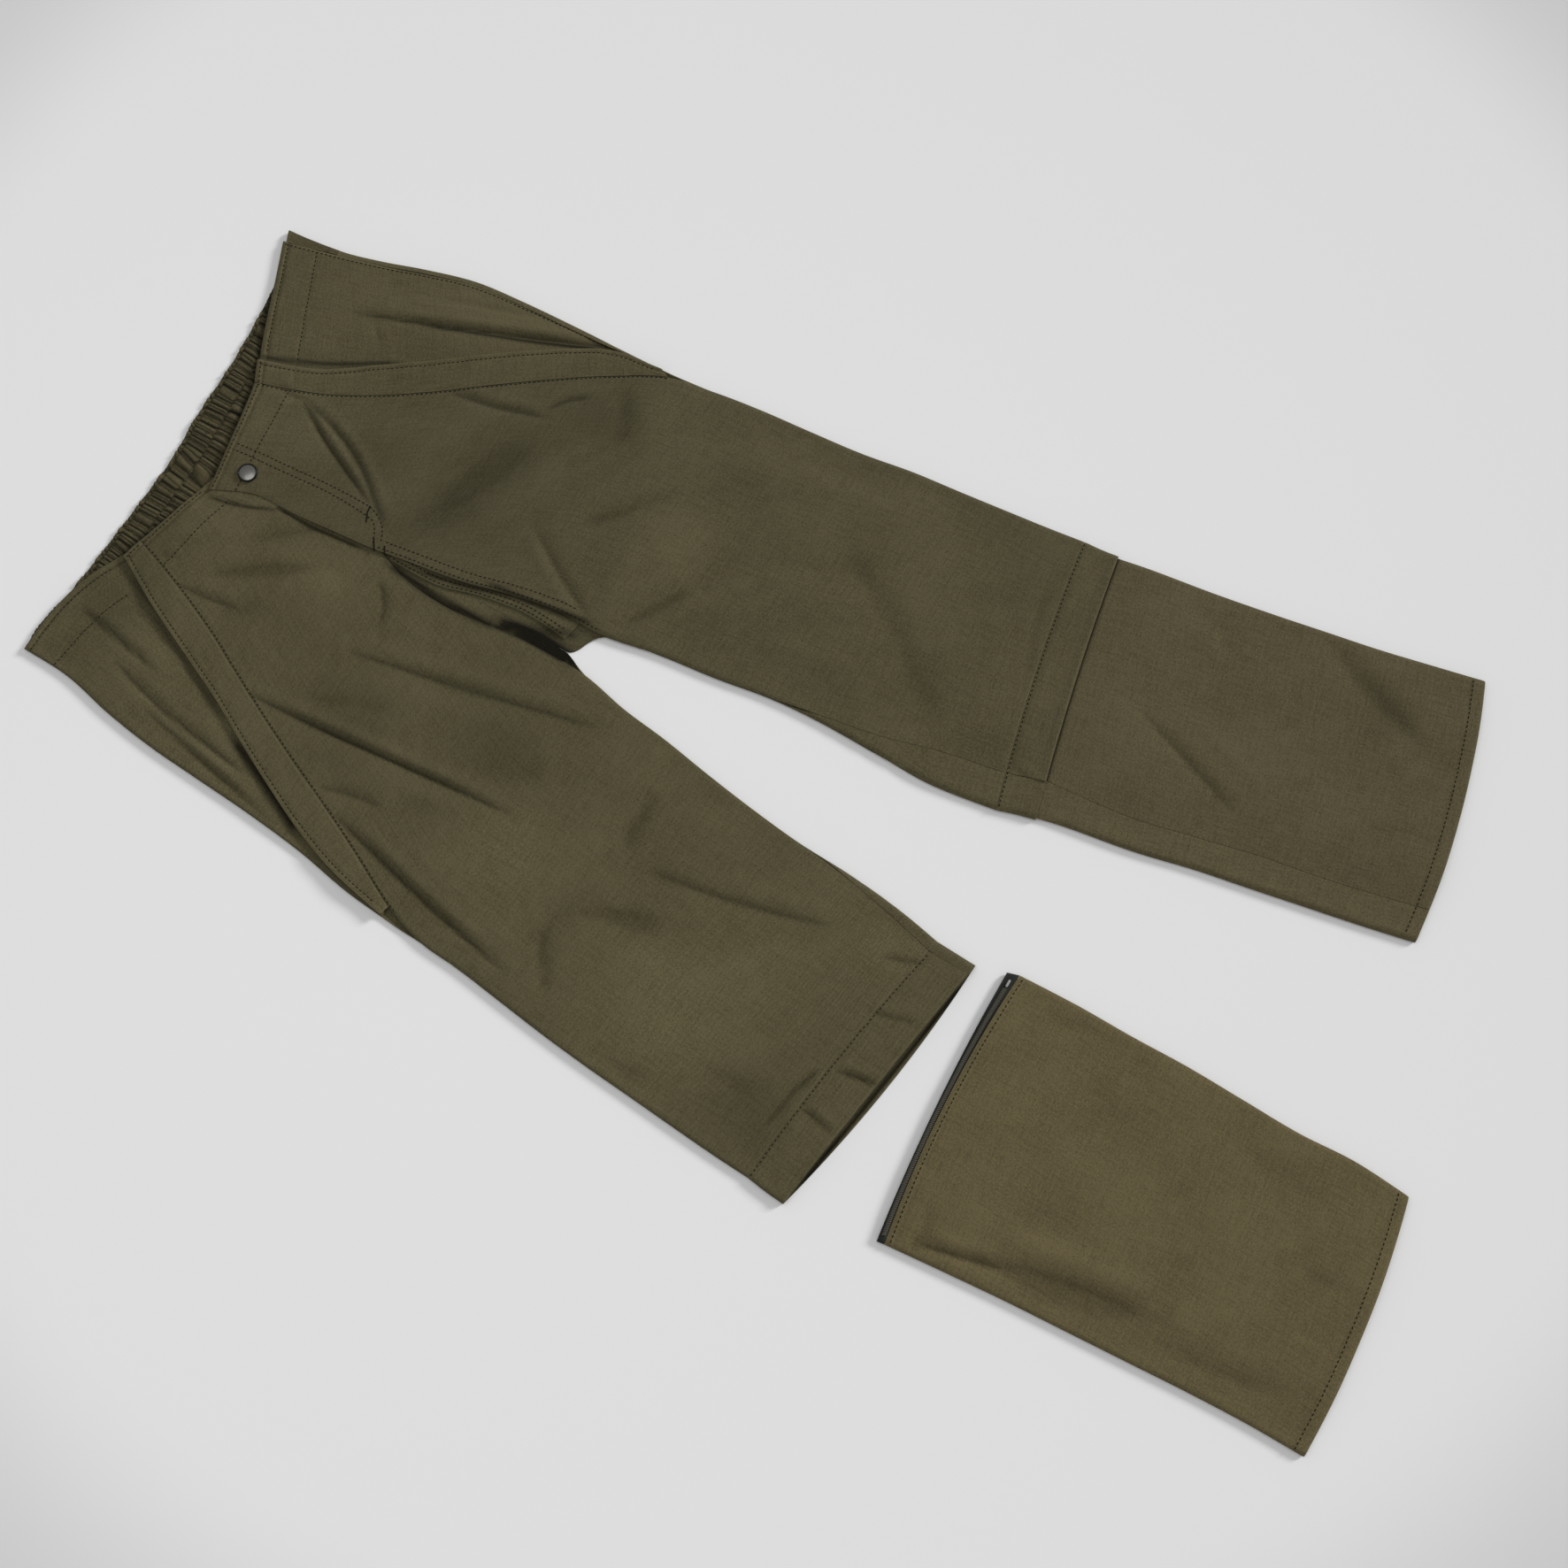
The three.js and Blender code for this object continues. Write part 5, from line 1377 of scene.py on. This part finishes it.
flySeams = {
    "upper": [(15, 534), (18, 512), (20, 487), (24, 450), (25, 418), (24, 405), (16, 391), (4, 384)],
    "lower": [(9, 535), (11, 520), (13, 497), (18, 446), (17, 406), (12, 396), (-1, 389)],
}
leftRows = [
    waistRow("frontLeft", leftFront, "facing"),
    waistRow("frontLeft", leftFront, "second"),
    (["frontLeft"], curved(flySeams["upper"])),
    (["frontLeft"], curved(flySeams["lower"])),
    (["frontLeft"], beside(leftFront, 0.004, 0.44, 1.4)),
    (["frontLeft"], beside(leftFront, 0.255, 0.55, 2.5, "in")),
    (["frontLeft"], beside(leftFront, 0.26, 0.52, 9.0, "in")),
    (["forkBand"], beside(forkBand, 0.02, 0.97, 2.4, "in")),
    (["forkBand"], beside(forkBand, 0.06, 0.97, 6.5, "in")),
    (["forkBand"], beside(forkBand, 0.2, 0.97, 3.0, "out")),
]
rightRows = [
    waistRow("frontRight", rightFront, "facing", 30),
    waistRow("frontRight", rightFront, "second", 26),
    (["frontRight"], beside(rightFront, 0.004, 0.48, 1.4)),
]
sew("stitchesFrontLeft", leftRows)
sew("stitchesFrontRight", rightRows)
for side, mouth, band in (("Left", leftMouth, bandLeft), ("Right", rightMouth, bandRight)):
    names = ["pocketBand" + side]
    fromTop = partAlong(mouth["x"], mouth["y"], waistHem["facing"])
    sew("stitchesPocket" + side, [
        (names, beside(None, 0.012, 0.97, pocket["stitch"], "out", band)),
        (names, across(None, fromTop, 1, 1, band)),
    ])
for side in ("Left", "Right"):
    names = ["pocketSide" + side]
    sheet = surfaces[names[0]]
    rows = [(names, row) for row in rowsBelow(sheet, (waistHem["facing"], waistHem["second"]))]
    if side == "Left":
        rows.append((names, sheet[3:-12, 3, :2]))
    sew("stitchesSide" + side, rows)
flapStitches = [
    (["kneeFlapLeft"], across(leftFlap, 0.05, 1.5, 1.0)),
    (["kneeFlapRight"], across(rightFlap, 0.05, 1.5, 1.0)),
    (["kneeFlapBackLeft"], across(leftFlap, 0.05, 205, -28)),
]
sew("stitchesFlaps", flapStitches)
sew("stitchesHem", [(["lowerFront"], across(lowerLeg, 0.963, 2, 1.5)),
                                   (["lowerBack"], across(lowerLeg, 0.963, 196, -24))])
sew("stitchesLoose", [(["looseFront"], across(looseLeg, 0.964, 2, 2)),
                                     (["looseFront"], across(looseLeg, 0.0185, 2, 2))],
    look=hardOnes["looseThread"])
bandMiddle = surfaces["waistbandInside"][:, 14:-14, :2]
lastRow = elastic["rows"] - 1
rows = [(["waistbandInside"], bandMiddle[int(part * lastRow)]) for part in elastic["stitched"]]
sew("stitchesWaistband", rows, length=2.0, radius=0.24)
tacks = [
    (["frontLeft"], [(20, 408), (12, 404)]),
    (["frontLeft"], [(26, 409), (20, 408)]),
    (["frontLeft"], [(4, 391), (-5, 385)]),
    (["frontLeft"], [(3, 380), (-3, 376)]),
]
sew("barTacks", tacks, pitch=0.6, length=1.7, radius=0.28, crosswise=True)
print("sewing made")

# Zip coil of the loose leg: a thread wound as a flat helix along the tape.
coil = {"pitch": 1.5, "steps": 8, "wide": 1.5, "high": 0.45, "radius": 0.38, "sides": 4,
        "part": 0.46, "out": 14.0, "in": 6.0, "lift": 0.75}


def tubeAlong(path, radius, sides):
    # rings of that radius round a path, square to its direction
    way = np.gradient(path, axis=0)
    way /= np.linalg.norm(way, axis=1, keepdims=True)
    side = np.cross(way, [0.0, 0.0, 1.0])
    side /= np.maximum(np.linalg.norm(side, axis=1, keepdims=True), 1e-6)
    up = np.cross(side, way)
    turn = np.linspace(0, 2 * math.pi, sides, endpoint=False)
    across, above = np.cos(turn)[None, :, None] * side[:, None], np.sin(turn)[None, :, None] * up[:, None]
    return (path[:, None] + radius * (across + above)).reshape(-1, 3), closedTube(len(path), sides)


line = across(looseTape, coil["part"], coil["out"], coil["in"])
at, way = alongPath(line, coil["pitch"] / coil["steps"])
point, normal = onSurface(["looseTape"], at)
turns = np.arange(len(at)) * 2 * math.pi / coil["steps"]
sideways = np.column_stack([-way[:, 1], way[:, 0], 0 * turns])
helix = point + sideways * (coil["wide"] * np.cos(turns))[:, None]
helix[:, 2] = point[:, 2] + coil["lift"] + coil["high"] * np.sin(turns)
vertices, faces = tubeAlong(helix, coil["radius"], coil["sides"])
made = makeObject("looseCoil", vertices, faces)
declare(made, ["loose_zip_coil"], hardOnes["nylonCoil"], None)

# Moulded pin at the end of that zip: a rounded bar, by a superellipse carried along its length.
pin = {"length": 6.6, "width": 2.0, "height": 1.6, "fromEdge": 9.5, "foot": 5.5, "rings": 13, "sides": 16,
       "end": 0.35, "taper": 4, "square": 0.6}


def squared(c):
    # a circle's sine or cosine, for a ring with squarer corners
    return np.sign(c) * np.abs(c) ** pin["square"]


s = sectionsAt(looseTape, coil["part"])
x, y = placeOn(s, np.array([[pin["fromEdge"]]]))
t = np.linspace(-1, 1, pin["rings"])
size = (1 - np.abs(t) ** pin["taper"]) ** pin["end"]
size[[0, -1]] = pin["end"]
turn = np.linspace(0, 2 * math.pi, pin["sides"], endpoint=False)
vertices = gridOf(t[:, None] * pin["length"] / 2, np.outer(size, squared(np.cos(turn))) * pin["width"] / 2,
                  np.outer(size, squared(np.sin(turn))) * pin["height"] / 2)
vertices = vertices.reshape(-1, 3) + np.array([x[0, 0], y[0, 0], pin["foot"] + pin["height"] / 2])
faces = closedTube(pin["rings"], pin["sides"])
made = makeObject("loosePin", vertices, faces)
declare(made, ["loose_zip_pin"], hardOnes["mouldedPin"], None)
print("zip made")

# Press stud: a domed cap in a rim whose near-black colour is painted shade round the dome; each a profile
# turned round its axis.
stud = {"x": -2.0, "y": 511.0, "foot": 7.5, "segments": 64,
        "dome": 6.9, "height": 2.6, "falls": 1.05, "steps": 14,
        "rim": 7.35, "rimWide": 0.75, "rimHigh": 1.0, "rimMiddle": 1.1}


def turnedPiece(name, profile, look):
    # the profile's radius and height carried once round the stud's axis
    turn = np.linspace(0, 2 * math.pi, stud["segments"], endpoint=False)
    radius, height = np.array(profile, dtype=float).T
    points = gridOf(stud["x"] + np.outer(radius, np.cos(turn)), stud["y"] + np.outer(radius, np.sin(turn)),
                    stud["foot"] + height[:, None])
    index = np.arange(points.shape[0] * points.shape[1]).reshape(points.shape[:2])
    follow = np.roll(index, -1, axis=0)
    nextOne, followNext = np.roll(index, -1, axis=1), np.roll(follow, -1, axis=1)
    faces = np.stack([index, follow, followNext, nextOne], axis=-1).reshape(-1, 4)
    made = makeObject(name, points.reshape(-1, 3), faces)
    made.data.materials.append(look)
    return made


domeSteps = np.linspace(0.03, 1, stud["steps"])
dome = [(stud["dome"] * q, stud["height"] - stud["falls"] * q**2.6) for q in domeSteps]
dome += [(stud["dome"], 0.3), (0.2, 0.3)]
cap = turnedPiece("studCap", dome, hardOnes["wornGunmetal"])
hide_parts("snap_cap")
rimTurn = np.linspace(0, 2 * math.pi, stud["steps"], endpoint=False)
rimOut, rimUp = stud["rimWide"] * np.cos(rimTurn), stud["rimHigh"] * np.sin(rimTurn)
rim = list(zip(stud["rim"] + rimOut, stud["rimMiddle"] + rimUp))
turnedPiece("studRim", rim, hardOnes["darkRim"])
print("stud made")

# Floor, light and camera
room = {
    "floor": 3.0,
    "middle": (0.76, 0.76, 0.76),  # the floor's colour where the garment lies
    "corner": (0.616, 0.616, 0.616),  # and far from it, darker as painted light falloff
    "centre": (0.063, 0.051, 0.0),  # the point of the floor that lies as far from all corners of the picture
    "fallsFrom": 0.74,  # metres from there, where the painted falloff starts
    "fallsTo": 0.93,
    "key": 2.45,  # watts per square metre
    "keySize": 14.0,  # degrees
    "keyFrom": (0.80, -0.50, 0.42),  # towards the light
    "fill": 20.5,  # watts
    "fillFrom": (-0.3, 0.2, 2.6), "fillSize": 2.4,  # metres
    "world": 0.39,
}
mesh = bpy.data.meshes.new("floor")
side = room["floor"]
mesh.from_pydata([(-side, -side, 0), (side, -side, 0), (side, side, 0), (-side, side, 0)], [], [(0, 1, 2, 3)])
floor = bpy.data.objects.new("floor", mesh)
floor.location = room["centre"]
bpy.context.scene.collection.objects.link(floor)
# the paper's colour darkens towards the picture's corners: painted light falloff
paper, tree, shader = material("floorPaper", roughness=0.95)
source = tree.nodes.new("ShaderNodeTexCoord")
away = tree.nodes.new("ShaderNodeVectorMath")
away.operation = "LENGTH"
feed(tree, away.inputs[0], source.outputs["Object"])
falling = tree.nodes.new("ShaderNodeMapRange")
falling.interpolation_type = "SMOOTHSTEP"
feed(tree, falling.inputs["Value"], away.outputs["Value"])
feed(tree, falling.inputs["From Min"], room["fallsFrom"])
feed(tree, falling.inputs["From Max"], room["fallsTo"])
shades = mixNode(tree, falling.outputs["Result"], (*room["middle"], 1), (*room["corner"], 1))
feed(tree, shader.inputs["Base Color"], shades)
mesh.materials.append(paper)

camera = {"azimuth": -59.0, "elevation": 75.0, "distance": 1.7228, "lens": 50.0}
azimuth, elevation = math.radians(camera["azimuth"]), math.radians(camera["elevation"])
level = math.cos(elevation)
forward = np.array([-math.sin(azimuth) * level, math.cos(azimuth) * level, -math.sin(elevation)])
right = np.array([math.cos(azimuth), math.sin(azimuth), 0.0])
up = np.cross(right, forward)


def aimed(thing, place, ahead, upward):
    # sets an object at a place, looking ahead along its own -z
    matrix = np.eye(4)
    matrix[:3, 0] = np.cross(ahead, upward) / np.linalg.norm(np.cross(ahead, upward))
    matrix[:3, 2] = -ahead / np.linalg.norm(ahead)
    matrix[:3, 1] = np.cross(matrix[:3, 2], matrix[:3, 0])
    matrix[:3, 3] = place
    thing.matrix_world = Matrix(matrix.tolist())


lens = bpy.data.cameras.new("camera")
lens.lens, lens.sensor_width = camera["lens"], 36.0
view = bpy.data.objects.new("camera", lens)
bpy.context.scene.collection.objects.link(view)
aim = -np.array([*cloth["flatMiddle"], 0.0]) / 1000
aimed(view, aim - forward * camera["distance"], forward, up)
bpy.context.scene.camera = view


def lamp(name, kind, place, ahead):
    # a light of that kind at a place, shining ahead
    light = bpy.data.lights.new(name, kind)
    made = bpy.data.objects.new(name, light)
    bpy.context.scene.collection.objects.link(made)
    aimed(made, place, ahead, np.array([0.0, 1.0, 0.1]))
    return light


fill = lamp("fillLight", "AREA", room["fillFrom"], aim - np.array(room["fillFrom"]))
fill.shape, fill.size, fill.energy = "DISK", room["fillSize"], room["fill"]
keyFrom = np.array(room["keyFrom"])
key = lamp("keyLight", "SUN", keyFrom * 3, -keyFrom)
key.energy, key.angle = room["key"], math.radians(room["keySize"])
world = bpy.data.worlds.new("room")
bpy.context.scene.world = world
world.use_nodes = True
background = world.node_tree.nodes["Background"].inputs
background["Color"].default_value = (1.0, 1.0, 1.0, 1)
background["Strength"].default_value = room["world"]
bpy.context.scene.view_settings.view_transform = "Standard"
print("floor, lights and camera made")
